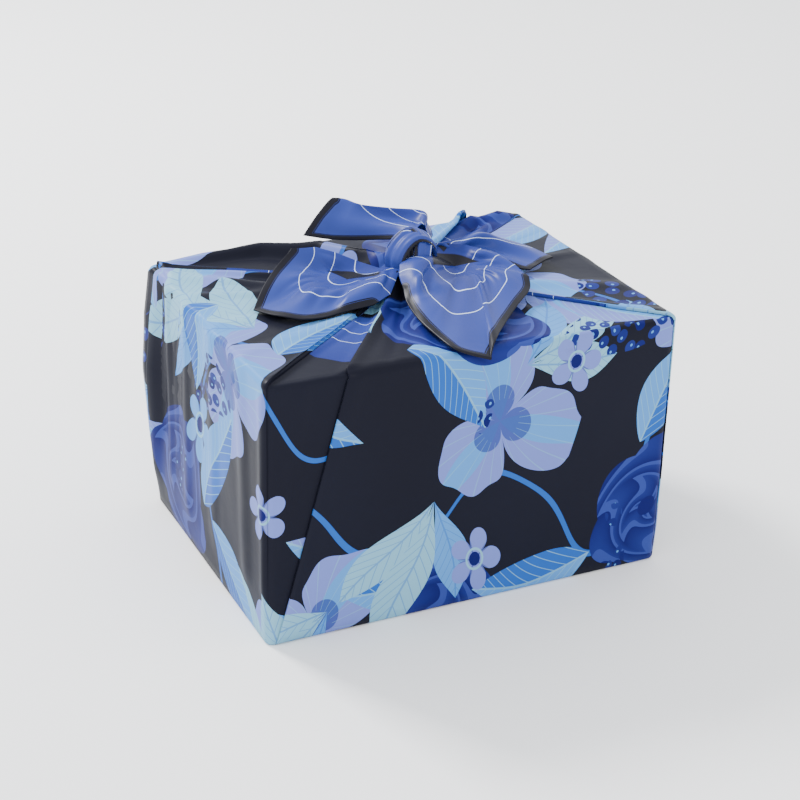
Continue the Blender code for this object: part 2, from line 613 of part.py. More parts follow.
def combine(target, other, operation):
    """Apply an exact boolean and remove the second object."""
    modifier = target.modifiers.new("combine", "BOOLEAN")
    modifier.operation = operation
    modifier.solver = "EXACT"
    modifier.object = other
    bpy.context.view_layer.objects.active = target
    bpy.ops.object.select_all(action="DESELECT")
    target.select_set(True)
    bpy.ops.object.modifier_apply(modifier=modifier.name)
    bpy.data.objects.remove(other, do_unlink=True)


def build_wrap():
    """The tied cloth as one solid."""
    wrap = new_object("wrap", fill_body)
    slot = add_block("slot", SLOT_LOW, SLOT_HIGH)
    combine(wrap, slot, "DIFFERENCE")
    knot = add_ball("knot core", (KNOT_X, KNOT_Y, KNOT_CORE_UP), KNOT_CORE_RADII)
    left_rows = cup_rows(LEFT_TAIL, LEFT_TAIL_HOLLOW)
    front_rows = cup_rows(FRONT_TAIL, FRONT_TAIL_HOLLOW)
    pieces = (
        new_object("band", lambda w: fill_band(w, KNOT_BAND, BAND_HALF_WIDTH, BAND_HALF_THICKNESS)),
        new_object("under band", lambda w: fill_band(
            w, KNOT_UNDER_BAND, UNDER_BAND_HALF_WIDTH, UNDER_BAND_HALF_THICKNESS)),
        new_object("left tail", lambda w: fill_cup(w, left_rows)),
        new_object("front tail", lambda w: fill_cup(w, front_rows)),
        new_object("right tail", lambda w: fill_sheet(w, sheet_rows(RIGHT_TAIL), RIGHT_ACROSS)),
        new_object("back tail", lambda w: fill_sheet(w, crest_rows(BACK_TAIL), BACK_ACROSS)),
    )
    for piece in pieces:
        combine(knot, piece, "UNION")
    combine(wrap, knot, "UNION")
    wrap.data.materials.clear()
    wrap.data.materials.append(fabric_material("wrap cloth", WRAP_COLOUR))
    return wrap


def build_box():
    """The plain closed carton inside, clear of the cloth."""
    inset = CLOTH + BOX_GAP_SIDE
    box = add_block(
        "box",
        (-HALF_W + inset, -HALF_D + inset, CLOTH + BOX_GAP_BOTTOM),
        (HALF_W - inset, HALF_D - inset, TOP_Z - inset),
    )
    work = bmesh.new()
    work.from_mesh(box.data)
    bmesh.ops.bevel(work, geom=work.edges[:], offset=BOX_CORNER * MM, segments=BOX_CORNER_SEGMENTS,
                    profile=0.5, affect="EDGES")
    bmesh.ops.recalc_face_normals(work, faces=work.faces)
    work.to_mesh(box.data)
    work.free()
    box.data.materials.append(fabric_material("carton", CARTON_COLOUR))
    return box


clear_scene()
build_wrap()
build_box()
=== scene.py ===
"""Looks of the furoshiki wrap: printed satin cloth folded round a closed carton and knotted on top.

Places and sizes in the tables are millimetres in the part's own frame: X along the long sides,
the front face to -Y, Z up. Every mesh is written in metres.
"""

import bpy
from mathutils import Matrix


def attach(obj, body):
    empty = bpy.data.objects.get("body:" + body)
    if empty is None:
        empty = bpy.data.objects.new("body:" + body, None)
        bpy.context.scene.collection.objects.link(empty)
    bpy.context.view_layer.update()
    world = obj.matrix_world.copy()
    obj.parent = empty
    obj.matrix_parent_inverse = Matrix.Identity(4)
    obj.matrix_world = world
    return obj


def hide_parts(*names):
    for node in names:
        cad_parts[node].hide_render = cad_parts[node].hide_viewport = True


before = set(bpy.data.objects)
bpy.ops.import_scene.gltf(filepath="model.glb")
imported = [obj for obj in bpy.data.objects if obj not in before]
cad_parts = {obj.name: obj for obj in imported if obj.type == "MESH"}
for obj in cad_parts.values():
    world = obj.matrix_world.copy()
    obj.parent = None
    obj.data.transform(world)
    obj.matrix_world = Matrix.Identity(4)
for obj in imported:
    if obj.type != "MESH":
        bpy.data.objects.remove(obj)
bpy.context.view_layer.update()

import logging
import math
from collections.abc import Sequence
from dataclasses import dataclass, field
from enum import Enum

import bpy
import numpy as np
from mathutils import Matrix, Vector

LOG = logging.getLogger("wrap")
MM = 0.001
MERGE = 0.000002
LIP_STEPS = 4
LIP_SKEW = 0.4
LIP_SPACING = 0.01
LIP_NECK_TURN = 0.1
HOLLOW_CALM = 0.6
Array = np.ndarray


@dataclass(frozen=True)
class WrapSizes:
    """Driving sizes of the wrapped box, in millimetres."""

    width: float = 300.0
    depth: float = 224.0
    height: float = 188.4
    inset: float = 1.2
    bottom_round: float = 1.6
    top_round: float = 2.6
    corner_round: float = 5.0
    knot_x: float = 4.0
    knot_y: float = 6.0
    neck_radius: float = 10.0
    steep_rise: float = 16.0
    steep_reach: float = 14.0
    broad_rise: float = 5.0
    broad_reach: float = 45.0
    cloth_side: float = 900.0
    hem: float = 4.4

    @property
    def half_w(self) -> float:
        """Half the width of the surface that the lifts start from."""
        return self.width / 2 - self.inset

    @property
    def half_d(self) -> float:
        """Half the depth of the surface that the lifts start from."""
        return self.depth / 2 - self.inset

    @property
    def top(self) -> float:
        """Height of the top plane that the lifts start from."""
        return self.height - self.inset

    @property
    def perimeter(self) -> float:
        """Length round the box, counted from the front left corner."""
        return 2 * (self.width + self.depth)

    @property
    def reach(self) -> float:
        """Distance from the middle of the flat cloth to each of its corners."""
        return self.cloth_side / math.sqrt(2)


SIZES = WrapSizes()


class Side(Enum):
    """The four sides of the box in their order round it; each takes one corner of the cloth."""

    FRONT = 0
    RIGHT = 1
    BACK = 2
    LEFT = 3

    @property
    def length(self) -> float:
        """Length of this side's bottom edge."""
        return SIZES.width if self.value % 2 == 0 else SIZES.depth

    @property
    def start(self) -> float:
        """Place on the perimeter where this side starts."""
        return sum(Side(k).length for k in range(self.value))

    @property
    def outward(self) -> tuple[float, float]:
        """Direction that this side faces."""
        return ((0.0, -1.0), (1.0, 0.0), (0.0, 1.0), (-1.0, 0.0))[self.value]

    @property
    def along(self) -> tuple[float, float]:
        """Direction in which the perimeter runs on this side."""
        return ((1.0, 0.0), (0.0, 1.0), (-1.0, 0.0), (0.0, -1.0))[self.value]


@dataclass(frozen=True)
class Fold:
    """A soft fold along a line of points: x, y, half width, height. A height under 0 is a trough."""

    line: tuple[tuple[float, float, float, float], ...]

    def lift(self, a: Array, b: Array) -> Array:
        """Height that the fold adds at plane points.

        Args:
            a: First coordinates.
            b: Second coordinates.

        Returns:
            The added height at each point.
        """
        best = np.zeros(np.broadcast(a, b).shape)
        for (a1, b1, w1, h1), (a2, b2, w2, h2) in zip(self.line, self.line[1:]):
            da, db = a2 - a1, b2 - b1
            share = np.clip(((a - a1) * da + (b - b1) * db) / (da * da + db * db), 0.0, 1.0)
            away = np.hypot(a - a1 - share * da, b - b1 - share * db)
            hump = 0.5 + 0.5 * np.cos(np.pi * np.minimum(away / (w1 + (w2 - w1) * share), 1.0))
            here = (h1 + (h2 - h1) * share) * hump
            best = np.where(np.abs(here) > np.abs(best), here, best)
        return best


def total_lift(table: Sequence[Fold], a: Array, b: Array) -> Array:
    """Sum of the lifts of many folds at plane points."""
    return sum(fold.lift(a, b) for fold in table)


def wall_fold(place: Array, height: Array) -> Array:
    """Lift of the wall folds, with the perimeter joined end to end."""
    around = SIZES.perimeter
    return sum(total_lift(WALL_FOLDS, place + turn, height) for turn in (-around, 0.0, around))


def rim_points(place: Array) -> tuple[Array, ...]:
    """Points on the rounded rectangle round the box at perimeter places.

    Args:
        place: Places along the perimeter, in millimetres from the front left corner.

    Returns:
        The x and y of each point, then the x and y of its outward direction.
    """
    place = np.mod(place, SIZES.perimeter)
    radius = SIZES.corner_round
    x, y, nx, ny = (np.zeros_like(place) for _ in range(4))
    for side in Side:
        local = place - side.start
        here = (local >= 0.0) & (local < side.length)
        half, out = SIZES.half_w, SIZES.half_d
        if side.value % 2:
            half, out = out, half
        s = (local - side.length / 2) * half / (side.length / 2)
        along = np.clip(s, radius - half, half - radius)
        turn = (s - along) / radius * math.pi / 4
        a = along + radius * np.sin(turn)
        b = out - radius + radius * np.cos(turn)
        (ax, ay), (ox, oy) = side.along, side.outward
        x = np.where(here, a * ax + b * ox, x)
        y = np.where(here, a * ay + b * oy, y)
        nx = np.where(here, np.sin(turn) * ax + np.cos(turn) * ox, nx)
        ny = np.where(here, np.sin(turn) * ay + np.cos(turn) * oy, ny)
    return x, y, nx, ny


@dataclass(frozen=True)
class Station:
    """One line of the cloth from under the box to the knot."""

    name: str
    side: Side
    bottom: float
    top: float
    neck: float
    wall_lift: float
    top_lift: float
    shift: float = 0.0
    strips: int = 1


def lip(name: str, side: Side, bottom: float, top: float, neck: float, low: float, high: float,
        top_low: float, top_high: float, radius: float = 0.9) -> list[Station]:
    """Rounded edge where a hidden layer turns back over itself and becomes the layer on top.

    Args:
        name: Name of the fold.
        side: Side whose cloth turns.
        bottom: Place of the edge on the bottom edge of the box.
        top: Place of the edge on the top edge of the box.
        neck: Angle at the neck, in degrees.
        low: Wall lift of the layer below.
        high: Wall lift of the layer on top.
        top_low: Lift on top of the box of the layer below.
        top_high: Lift on top of the box of the layer on top.
        radius: How far the edge bulges over the layer below.

    Returns:
        The stations round the edge.
    """
    made = []
    for step in range(LIP_STEPS + 1):
        turn = math.pi * step / LIP_STEPS
        rise = 0.5 - 0.5 * math.cos(turn)
        out = radius * math.sin(turn)
        made.append(Station(
            f"{name} {step}", side, bottom - out * LIP_SKEW + step * LIP_SPACING,
            top - out + step * LIP_SPACING, neck + step * LIP_NECK_TURN,
            low + (high - low) * rise, top_low + (top_high - top_low) * rise,
        ))
    return made


def stations() -> list[Station]:
    """Lines of the cloth round the box, with each corner's excess folded under its neighbour."""
    front, right, back, left = Side.FRONT, Side.RIGHT, Side.BACK, Side.LEFT
    around = SIZES.perimeter
    made = [
        Station("ear start", left, around, around - 1.2, 190.0, 0.7, 0.4, 0.0, 9),
        Station("ear middle", left, around + 2.6, around + 30.0, 197.0, 0.7, 0.5, 0.0, 8),
        Station("ear under front", left, around + 5.6, around + 60.0, 205.0, 0.6, 0.5, 0.0, 12),
        Station("ear fold", left, around + 6.0, around + 236.0, 262.0, 0.3, 0.3, 0.0, 1),
        Station("ear return", front, 6.1, 236.0, 262.2, 0.8, 0.8, 0.0, 11),
    ]
    made += lip("front lip", front, 5.8, 56.0, 204.0, 1.1, 2.9, 1.2, 3.5)
    made += [
        Station("front crown", front, 8.4, 60.0, 206.4, 3.0, 3.5, 0.0, 7),
        Station("front start", front, 28.0, 80.0, 217.0, 2.5, 2.9, 0.0, 16),
        Station("front left", front, 80.0, 122.0, 238.0, 1.9, 2.1, 0.0, 18),
        Station("front middle", front, 150.0, 172.0, 268.0, 1.5, 1.7, 0.0, 40),
        Station("front end", front, 297.0, 297.0, 334.0, 1.3, 0.9, 0.0, 2),
        Station("front round corner", front, 302.0, 302.0, 336.0, 0.8, 0.4, 0.0, 10),
        Station("front under right", front, 306.0, 486.0, 400.0, 0.4, 0.3, 0.0, 1),
        Station("right return", right, 306.2, 486.0, 400.2, 0.9, 0.8, 0.0, 10),
    ]
    made += lip("right lip", right, 301.6, 299.6, 335.0, 1.1, 2.1, 0.9, 3.2)
    made += [
        Station("right crown", right, 304.0, 302.6, 338.0, 2.2, 3.2, 0.0, 6),
        Station("right start", right, 322.0, 322.0, 347.0, 1.7, 2.4, 0.0, 26),
        Station("right middle", right, 420.0, 420.0, 372.0, 1.5, 1.8, 0.0, 26),
        Station("right end", right, 521.0, 521.0, 400.0, 1.0, 0.8, 0.0, 8),
        Station("right under back", right, 530.0, 566.0, 412.0, 0.6, 0.5, 0.0, 10),
        Station("right fold", right, 531.0, 744.0, 478.0, 0.3, 0.3, 0.0, 1),
        Station("back return", back, 531.2, 744.0, 478.2, 0.8, 0.8, 0.0, 10),
    ]
    made += lip("back lip", back, 529.0, 573.0, 414.6, 1.1, 2.7, 1.1, 3.0)
    made += [
        Station("back crown", back, 532.0, 577.0, 417.6, 2.8, 3.0, 0.0, 8),
        Station("back start", back, 556.0, 600.0, 428.0, 2.2, 2.4, 0.0, 26),
        Station("back middle", back, 680.0, 700.0, 462.0, 1.6, 1.8, 0.0, 36),
        Station("back end", back, 821.0, 820.0, 505.0, 1.4, 0.9, 0.0, 3),
        Station("back round corner", back, 828.0, 830.0, 508.0, 0.9, 0.5, 0.0, 10),
        Station("back under left", back, 832.0, 1018.0, 545.0, 0.4, 0.3, 0.0, 1),
        Station("left return", left, 832.2, 1018.0, 545.2, 0.8, 0.8, 0.0, 10),
    ]
    made += lip("left lip", left, 828.0, 837.0, 510.0, 1.2, 2.6, 1.0, 2.6)
    made += [
        Station("left crown", left, 832.0, 841.0, 511.6, 2.6, 2.6, 0.0, 11),
        Station("left start", left, 872.0, 874.0, 520.0, 1.7, 2.0, 0.0, 30),
        Station("left middle", left, 960.0, 962.0, 538.0, 1.5, 1.9, 0.0, 24),
        Station("left end", left, 1040.0, 1040.0, 548.0, 1.0, 2.9, 0.0, 5),
        Station("left top crown", left, 1046.8, 1046.8, 549.2, 0.9, 3.2, 1.6, 1),
        Station("left top lip", left, 1047.2, 1047.1, 549.6, 0.85, 2.6, 2.8, 1),
        Station("left top under", left, 1047.5, 1047.3, 549.7, 0.8, 1.5, 1.6, 1),
        Station("left top foot", left, 1047.8, 1047.4, 549.8, 0.75, 0.7, -1.0, 1),
    ]
    return made


TOP_FOLDS = (
    Fold(((-92.0, -108.0, 9.0, 1.0), (-14.0, -8.0, 7.0, 5.5))),
    Fold(((-62.0, -104.0, 7.0, -0.6), (-5.0, -14.0, 6.0, -3.5))),
    Fold(((-38.0, -104.0, 12.0, 0.8), (2.0, -16.0, 8.0, 5.5))),
    Fold(((-8.0, -96.0, 9.0, -0.4), (10.0, -18.0, 6.0, -3.0))),
    Fold(((26.0, -90.0, 12.0, 0.6), (16.0, -14.0, 8.0, 4.5))),
    Fold(((74.0, -80.0, 14.0, 0.8), (22.0, -12.0, 8.0, 4.0))),
    Fold(((148.0, -104.0, 8.0, 0.6), (30.0, -14.0, 8.0, 3.5))),
    Fold(((140.0, -48.0, 13.0, 0.8), (28.0, -2.0, 8.0, 4.0))),
    Fold(((144.0, 20.0, 10.0, 0.6), (28.0, 10.0, 7.0, 4.5))),
    Fold(((142.0, 72.0, 12.0, 1.2), (26.0, 18.0, 7.0, 5.0))),
    Fold(((128.0, 104.0, 8.0, 2.6), (22.0, 24.0, 7.0, 7.0))),
    Fold(((98.0, 106.0, 9.0, 6.0), (14.0, 26.0, 8.0, 9.0))),
    Fold(((60.0, 106.0, 12.0, 0.8), (8.0, 28.0, 7.0, 3.0))),
    Fold(((10.0, 106.0, 14.0, 1.0), (2.0, 28.0, 8.0, 4.0))),
    Fold(((-44.0, 106.0, 12.0, 0.8), (-4.0, 26.0, 8.0, 4.0))),
    Fold(((-146.0, 107.0, 6.0, 2.0), (-112.0, 107.0, 9.0, 5.0), (-69.0, 103.0, 11.0, 8.0),
          (-33.0, 79.0, 13.0, 10.5), (-14.0, 41.0, 13.0, 10.5), (-4.0, 16.0, 8.0, 6.0))),
    Fold(((92.0, 100.0, 11.0, 5.0), (122.0, 105.0, 9.0, 6.0), (146.0, 108.0, 6.0, 1.5))),
    Fold(((-146.0, 107.0, 4.0, 2.4), (-20.0, 22.0, 7.0, 5.0))),
    Fold(((-146.0, 100.0, 3.0, -1.2), (-60.0, 46.0, 4.0, -2.0))),
    Fold(((-146.0, 96.0, 4.0, 2.0), (-22.0, 16.0, 6.0, 4.5))),
    Fold(((-147.0, 84.0, 4.0, -1.0), (-96.0, 50.0, 5.0, -1.4))),
    Fold(((-147.0, 88.0, 9.0, 2.4), (-111.0, 54.0, 13.0, 4.2), (-60.0, 14.0, 12.0, 2.4))),
    Fold(((-147.0, 44.0, 9.0, 1.2), (-30.0, 8.0, 8.0, 3.0))),
    Fold(((-147.0, -10.0, 12.0, 1.0), (-34.0, -6.0, 8.0, 2.4))),
    Fold(((-147.0, -62.0, 10.0, 0.8), (-60.0, -34.0, 8.0, 2.0))),
    Fold(((-144.0, -104.0, 4.0, 1.0), (-60.0, -42.0, 6.0, 2.2))),
)

WALL_FOLDS = (
    Fold(((204.0, 186.0, 9.0, 1.3), (214.0, 158.0, 10.0, 1.2), (232.0, 134.0, 10.0, 0.3))),
    Fold(((150.0, 184.0, 13.0, 0.6), (146.0, 96.0, 13.0, 0.4))),
    Fold(((62.0, 184.0, 9.0, 1.0), (26.0, 60.0, 9.0, 0.4))),
    Fold(((24.0, 180.0, 9.0, 1.4), (8.0, 60.0, 9.0, 0.4))),
    Fold(((340.0, 184.0, 14.0, 1.2), (330.0, 40.0, 14.0, 0.4))),
    Fold(((420.0, 184.0, 18.0, 1.0), (424.0, 60.0, 18.0, 0.3))),
    Fold(((486.0, 184.0, 14.0, 1.3), (494.0, 40.0, 14.0, 0.4))),
    Fold(((640.0, 184.0, 16.0, 1.0), (620.0, 50.0, 16.0, 0.3))),
    Fold(((730.0, 184.0, 18.0, 1.1), (736.0, 50.0, 18.0, 0.3))),
    Fold(((824.0, 186.0, 16.0, 3.2), (824.0, 152.0, 24.0, 7.0), (824.0, 112.0, 28.0, 9.5),
          (824.0, 60.0, 26.0, 6.5), (824.0, 8.0, 18.0, 1.0))),
    Fold(((842.0, 182.0, 6.0, 1.0), (838.0, 60.0, 6.0, 1.0))),
    Fold(((853.0, 186.0, 6.0, -1.8), (850.0, 70.0, 6.0, -1.2))),
    Fold(((866.0, 184.0, 9.0, 2.4), (862.0, 40.0, 9.0, 1.2))),
    Fold(((884.0, 186.0, 7.0, -1.8), (880.0, 60.0, 7.0, -0.8))),
    Fold(((902.0, 184.0, 12.0, 2.6), (896.0, 30.0, 12.0, 1.0))),
    Fold(((929.0, 186.0, 8.0, -1.4), (926.0, 80.0, 8.0, -0.5))),
    Fold(((952.0, 184.0, 14.0, 2.0), (950.0, 40.0, 14.0, 0.8))),
    Fold(((1004.0, 184.0, 14.0, 1.6), (1012.0, 40.0, 14.0, 1.4))),
    Fold(((1040.0, 176.0, 8.0, 1.2), (1043.0, 40.0, 8.0, 1.2))),
)


def select_only(piece: bpy.types.Object) -> None:
    """Deselect everything, then select one object and make it active."""
    bpy.ops.object.select_all(action="DESELECT")
    piece.select_set(True)
    bpy.context.view_layer.objects.active = piece


def grid_piece(name: str, points: Array, flat: Array, closed: bool,
               hollow: Array | None = None) -> bpy.types.Object:
    """Cloth made from a grid that is laid onto its folds.

    Args:
        name: Name of the piece.
        points: Points in millimetres, as columns by rows by 3.
        flat: Place of each point on the flat cloth, in metres, as columns by rows by 2.
        closed: Whether the last column joins the first one.
        hollow: Share of dark cloth at each point, as columns by rows, for a tail.

    Returns:
        The new object, with its place on the flat cloth as a UV map.
    """
    if closed:
        points = np.concatenate([points, points[:1]])
        flat = np.concatenate([flat, flat[:1]])
        hollow = None if hollow is None else np.concatenate([hollow, hollow[:1]])
    columns, rows = points.shape[:2]
    bpy.ops.object.select_all(action="DESELECT")
    bpy.ops.mesh.primitive_grid_add(x_subdivisions=columns - 1, y_subdivisions=rows - 1, size=1.0)
    piece = bpy.context.object
    piece.name = piece.data.name = name
    mesh = piece.data
    count = len(mesh.vertices)
    places = np.empty(count * 3)
    mesh.vertices.foreach_get("co", places)
    places = places.reshape(count, 3)
    column = np.rint((places[:, 0] + 0.5) * (columns - 1)).astype(int)
    row = np.rint((places[:, 1] + 0.5) * (rows - 1)).astype(int)
    mesh.vertices.foreach_set("co", (points[column, row] * MM).ravel())
    uv = mesh.uv_layers.active or mesh.uv_layers.new(name="UVMap")
    uv.name = "flat"
    corner_vert = np.empty(len(mesh.loops), dtype=int)
    mesh.loops.foreach_get("vertex_index", corner_vert)
    uv.data.foreach_set("uv", flat[column, row][corner_vert].ravel())
    if hollow is not None:
        depth = mesh.attributes.new("hollow", "FLOAT", "POINT")
        depth.data.foreach_set("value", hollow[column, row])
    mesh.update()
    return piece


def finish_mesh(piece: bpy.types.Object, outward: bool) -> None:
    """Merge doubled points, turn all faces outwards if asked, and shade smooth."""
    select_only(piece)
    bpy.ops.object.mode_set(mode="EDIT")
    bpy.ops.mesh.select_all(action="SELECT")
    bpy.ops.mesh.remove_doubles(threshold=MERGE)
    if outward:
        bpy.ops.mesh.normals_make_consistent(inside=False)
    bpy.ops.object.mode_set(mode="OBJECT")
    bpy.ops.object.shade_smooth()


def close_ends(piece: bpy.types.Object) -> None:
    """Fill a tube's open ends and turn its faces outwards."""
    select_only(piece)
    bpy.ops.object.mode_set(mode="EDIT")
    bpy.ops.mesh.select_mode(type="EDGE")
    bpy.ops.mesh.select_all(action="DESELECT")
    bpy.ops.mesh.select_non_manifold()
    bpy.ops.mesh.edge_face_add()
    bpy.ops.mesh.select_all(action="SELECT")
    bpy.ops.mesh.normals_make_consistent(inside=False)
    bpy.ops.object.mode_set(mode="OBJECT")


def give_thickness(piece: bpy.types.Object, thickness: float, offset: float, group: str = "",
                   thin_share: float = 1.0) -> None:
    """Apply a Solidify modifier.

    Args:
        piece: Sheet to thicken.
        thickness: Thickness in millimetres.
        offset: Side that the thickness goes to, from -1, inward, to 1, outward.
        group: Vertex group that has the full thickness, or an empty text.
        thin_share: Share of the thickness outside the group.
    """
    select_only(piece)
    solidify = piece.modifiers.new("thickness", "SOLIDIFY")
    solidify.thickness = thickness * MM
    solidify.offset = offset
    if group:
        solidify.vertex_group = group
        solidify.thickness_vertex_group = thin_share
    bpy.ops.object.modifier_apply(modifier=solidify.name)


@dataclass(frozen=True)
class Wave:
    """One radial wave of the gathers: height, waves round the knot, phase and reach."""

    height: float
    count: float
    phase: float
    reach: float = math.inf


@dataclass(frozen=True)
class Ripple:
    """One shallow unevenness: height, then how fast and from where it runs along x and y."""

    height: float
    x_rate: float
    x_rise: float
    x_phase: float
    y_rate: float
    y_rise: float
    y_phase: float = 0.0


GATHERS = (Wave(1.7, 9.0, 0.7), Wave(1.2, 17.0, 2.1), Wave(0.7, 29.0, 4.0, 18.0))
RIPPLES = (
    Ripple(0.16, 0.071, 0.053, 0.8, 0.083, -0.037, 1.9),
    Ripple(0.12, 0.131, -0.092, 2.4, 0.117, 0.041),
)


@dataclass
class ClothBody:
    """The part of the cloth that is folded round the box, from under it up to the knot.

    The low share is what a layer's lift keeps at the bottom edge and at the neck. The least lifts
    keep troughs from cutting into the box.
    """

    name: str = "wrap_body"
    thickness: float = 0.35
    bottom_rows: int = 4
    wall_rows: int = 30
    round_rows: int = 6
    top_rows: int = 50
    bottom_turns: tuple[float, ...] = (30.0, 60.0)
    bottom_middle: float = 0.004
    low_share: float = 0.35
    wall_fade: float = 30.0
    least_wall: float = 0.15
    least_wall_share: float = 0.25
    least_top: float = 0.1
    least_top_share: float = 0.3
    row_bunching: float = 0.86
    shift_run: float = 4.0
    neck_calm: float = 7.0
    relief_level: float = 90.0
    gather_reach: float = 27.9
    gather_settle: float = 5.0
    trough_depth: float = -1.6
    overlap: float = 150.0
    lines: list[Station] = field(default_factory=stations)

    def spread(self) -> dict[str, Array]:
        """Spread the stations into single columns.

        Returns:
            Arrays of each column's values by name.
        """
        keys = ("bottom", "top", "neck", "wall_lift", "top_lift", "shift")
        out: dict[str, list[float]] = {key: [] for key in (*keys, "side")}
        for index, here in enumerate(self.lines):
            there = self.lines[(index + 1) % len(self.lines)]
            for step in range(here.strips):
                share = step / here.strips
                for key in keys:
                    a, b = getattr(here, key), getattr(there, key)
                    out[key].append(a + (b - a) * share if here.strips > 1 else a)
                out["side"].append(here.side.value)
        return {key: np.array(values)[:, None] for key, values in out.items()}

    def wall_places(self, line: dict[str, Array], height: Array) -> Array:
        """Places along the perimeter at heights on the wall."""
        return line["bottom"] + (line["top"] - line["bottom"]) * height / SIZES.height

    def gathers(self, degrees: Array, distance: Array) -> Array:
        """Fine radial gathers that deepen towards the knot.

        Args:
            degrees: Angle of each column at the neck.
            distance: Distance of each point from the neck.

        Returns:
            Lift of the gathers in millimetres.
        """
        angle = np.radians(degrees)
        near = np.exp(-distance / self.gather_reach)
        settle = np.clip(distance / self.gather_settle, 0.0, 1.0)
        waves = sum(
            wave.height * np.sin(wave.count * angle + wave.phase) * np.exp(-distance / wave.reach)
            for wave in GATHERS
        )
        return waves * near * settle

    def relief(self, x: Array, y: Array, z: Array) -> Array:
        """Shallow uneven pulls in the cloth, under half a millimetre."""
        return sum(
            r.height * np.sin(x * r.x_rate + z * r.x_rise + r.x_phase)
            * np.sin(y * r.y_rate + z * r.y_rise + r.y_phase)
            for r in RIPPLES
        )

    def surface(self) -> tuple[Array, Array]:
        """Points of the cloth and their places on the flat cloth.

        Returns:
            Points in millimetres and flat places in metres, both as columns by rows.
        """
        line = self.spread()
        count = line["top"].shape[0]
        low, high = SIZES.bottom_round, SIZES.top - SIZES.top_round
        points: list[Array] = []
        places: list[Array] = []

        def add(x: Array, y: Array, z: Array | float, place: Array) -> None:
            """Keep one block of rows."""
            x, y, z, place = np.broadcast_arrays(x, y, z, place)
            points.append(np.stack([x, y, z], axis=-1))
            places.append(place)

        x, y, nx, ny = rim_points(line["bottom"])
        for share in np.linspace(self.bottom_middle, 1.0, self.bottom_rows):
            inner_x, inner_y = x - nx * SIZES.bottom_round, y - ny * SIZES.bottom_round
            add(inner_x * share, inner_y * share, 0.0, line["bottom"])
        for degrees in self.bottom_turns:
            angle = math.radians(degrees)
            out = SIZES.bottom_round * (math.sin(angle) - 1.0)
            add(x + nx * out, y + ny * out, SIZES.bottom_round * (1.0 - math.cos(angle)), line["bottom"])

        height = np.linspace(low, high, self.wall_rows)[None, :]
        place = self.wall_places(line, height)
        x, y, nx, ny = rim_points(place)
        fade = np.clip(height / self.wall_fade, 0.0, 1.0)
        folded = wall_fold(place, height)
        lift = line["wall_lift"] * (self.low_share + (1.0 - self.low_share) * fade)
        lift = lift + np.maximum(folded, self.trough_depth) * fade + self.relief(x, y, height) * fade
        lift = np.maximum(lift, self.least_wall + line["wall_lift"] * self.least_wall_share)
        add(x + nx * lift, y + ny * lift, height, place)

        x, y, nx, ny = rim_points(line["top"])
        edge = lift[:, -1:]
        turn = np.linspace(0.0, math.pi / 2, self.round_rows + 2)[None, 1:-1]
        share = turn / (math.pi / 2)
        lift = edge + (line["top_lift"] - edge) * share
        out = -SIZES.top_round + (SIZES.top_round + lift) * np.cos(turn)
        add(x + nx * out, y + ny * out, high + (SIZES.top_round + lift) * np.sin(turn), line["top"])

        start_x, start_y = x - nx * SIZES.top_round, y - ny * SIZES.top_round
        angle = np.radians(line["neck"])
        end_x = SIZES.knot_x + SIZES.neck_radius * np.cos(angle)
        end_y = SIZES.knot_y + SIZES.neck_radius * np.sin(angle)
        length = np.hypot(end_x - start_x, end_y - start_y)
        share = (np.linspace(0.0, 1.0, self.top_rows) ** self.row_bunching)[None, :]
        px = start_x + (end_x - start_x) * share
        py = start_y + (end_y - start_y) * share
        across = np.clip(share * self.shift_run, 0.0, 1.0) * (1.0 - share) * line["shift"] / length
        px = px - (end_y - start_y) * across
        py = py + (end_x - start_x) * across
        distance = (1.0 - share) * length
        calm = np.clip(distance / self.neck_calm, 0.0, 1.0)
        lift = line["top_lift"] * (self.low_share + (1.0 - self.low_share) * calm)
        lift = lift + total_lift(TOP_FOLDS, px, py) * calm
        lift = lift + self.gathers(line["neck"], distance) + self.relief(px, py, self.relief_level)
        lift = np.maximum(lift, self.least_top + line["top_lift"] * self.least_top_share)
        rise = SIZES.steep_rise * np.exp(-distance / SIZES.steep_reach)
        rise = rise + SIZES.broad_rise * np.exp(-distance / SIZES.broad_reach)
        add(px, py, SIZES.top + rise + lift, line["top"])

        all_points = np.concatenate(points, axis=1)
        flat = self.flat_places(line, all_points, np.concatenate(places, axis=1))
        flat[:, :self.bottom_rows] = all_points[:, :self.bottom_rows, :2] * MM
        LOG.info("cloth body grid %d by %d", count, all_points.shape[1])
        return all_points, flat

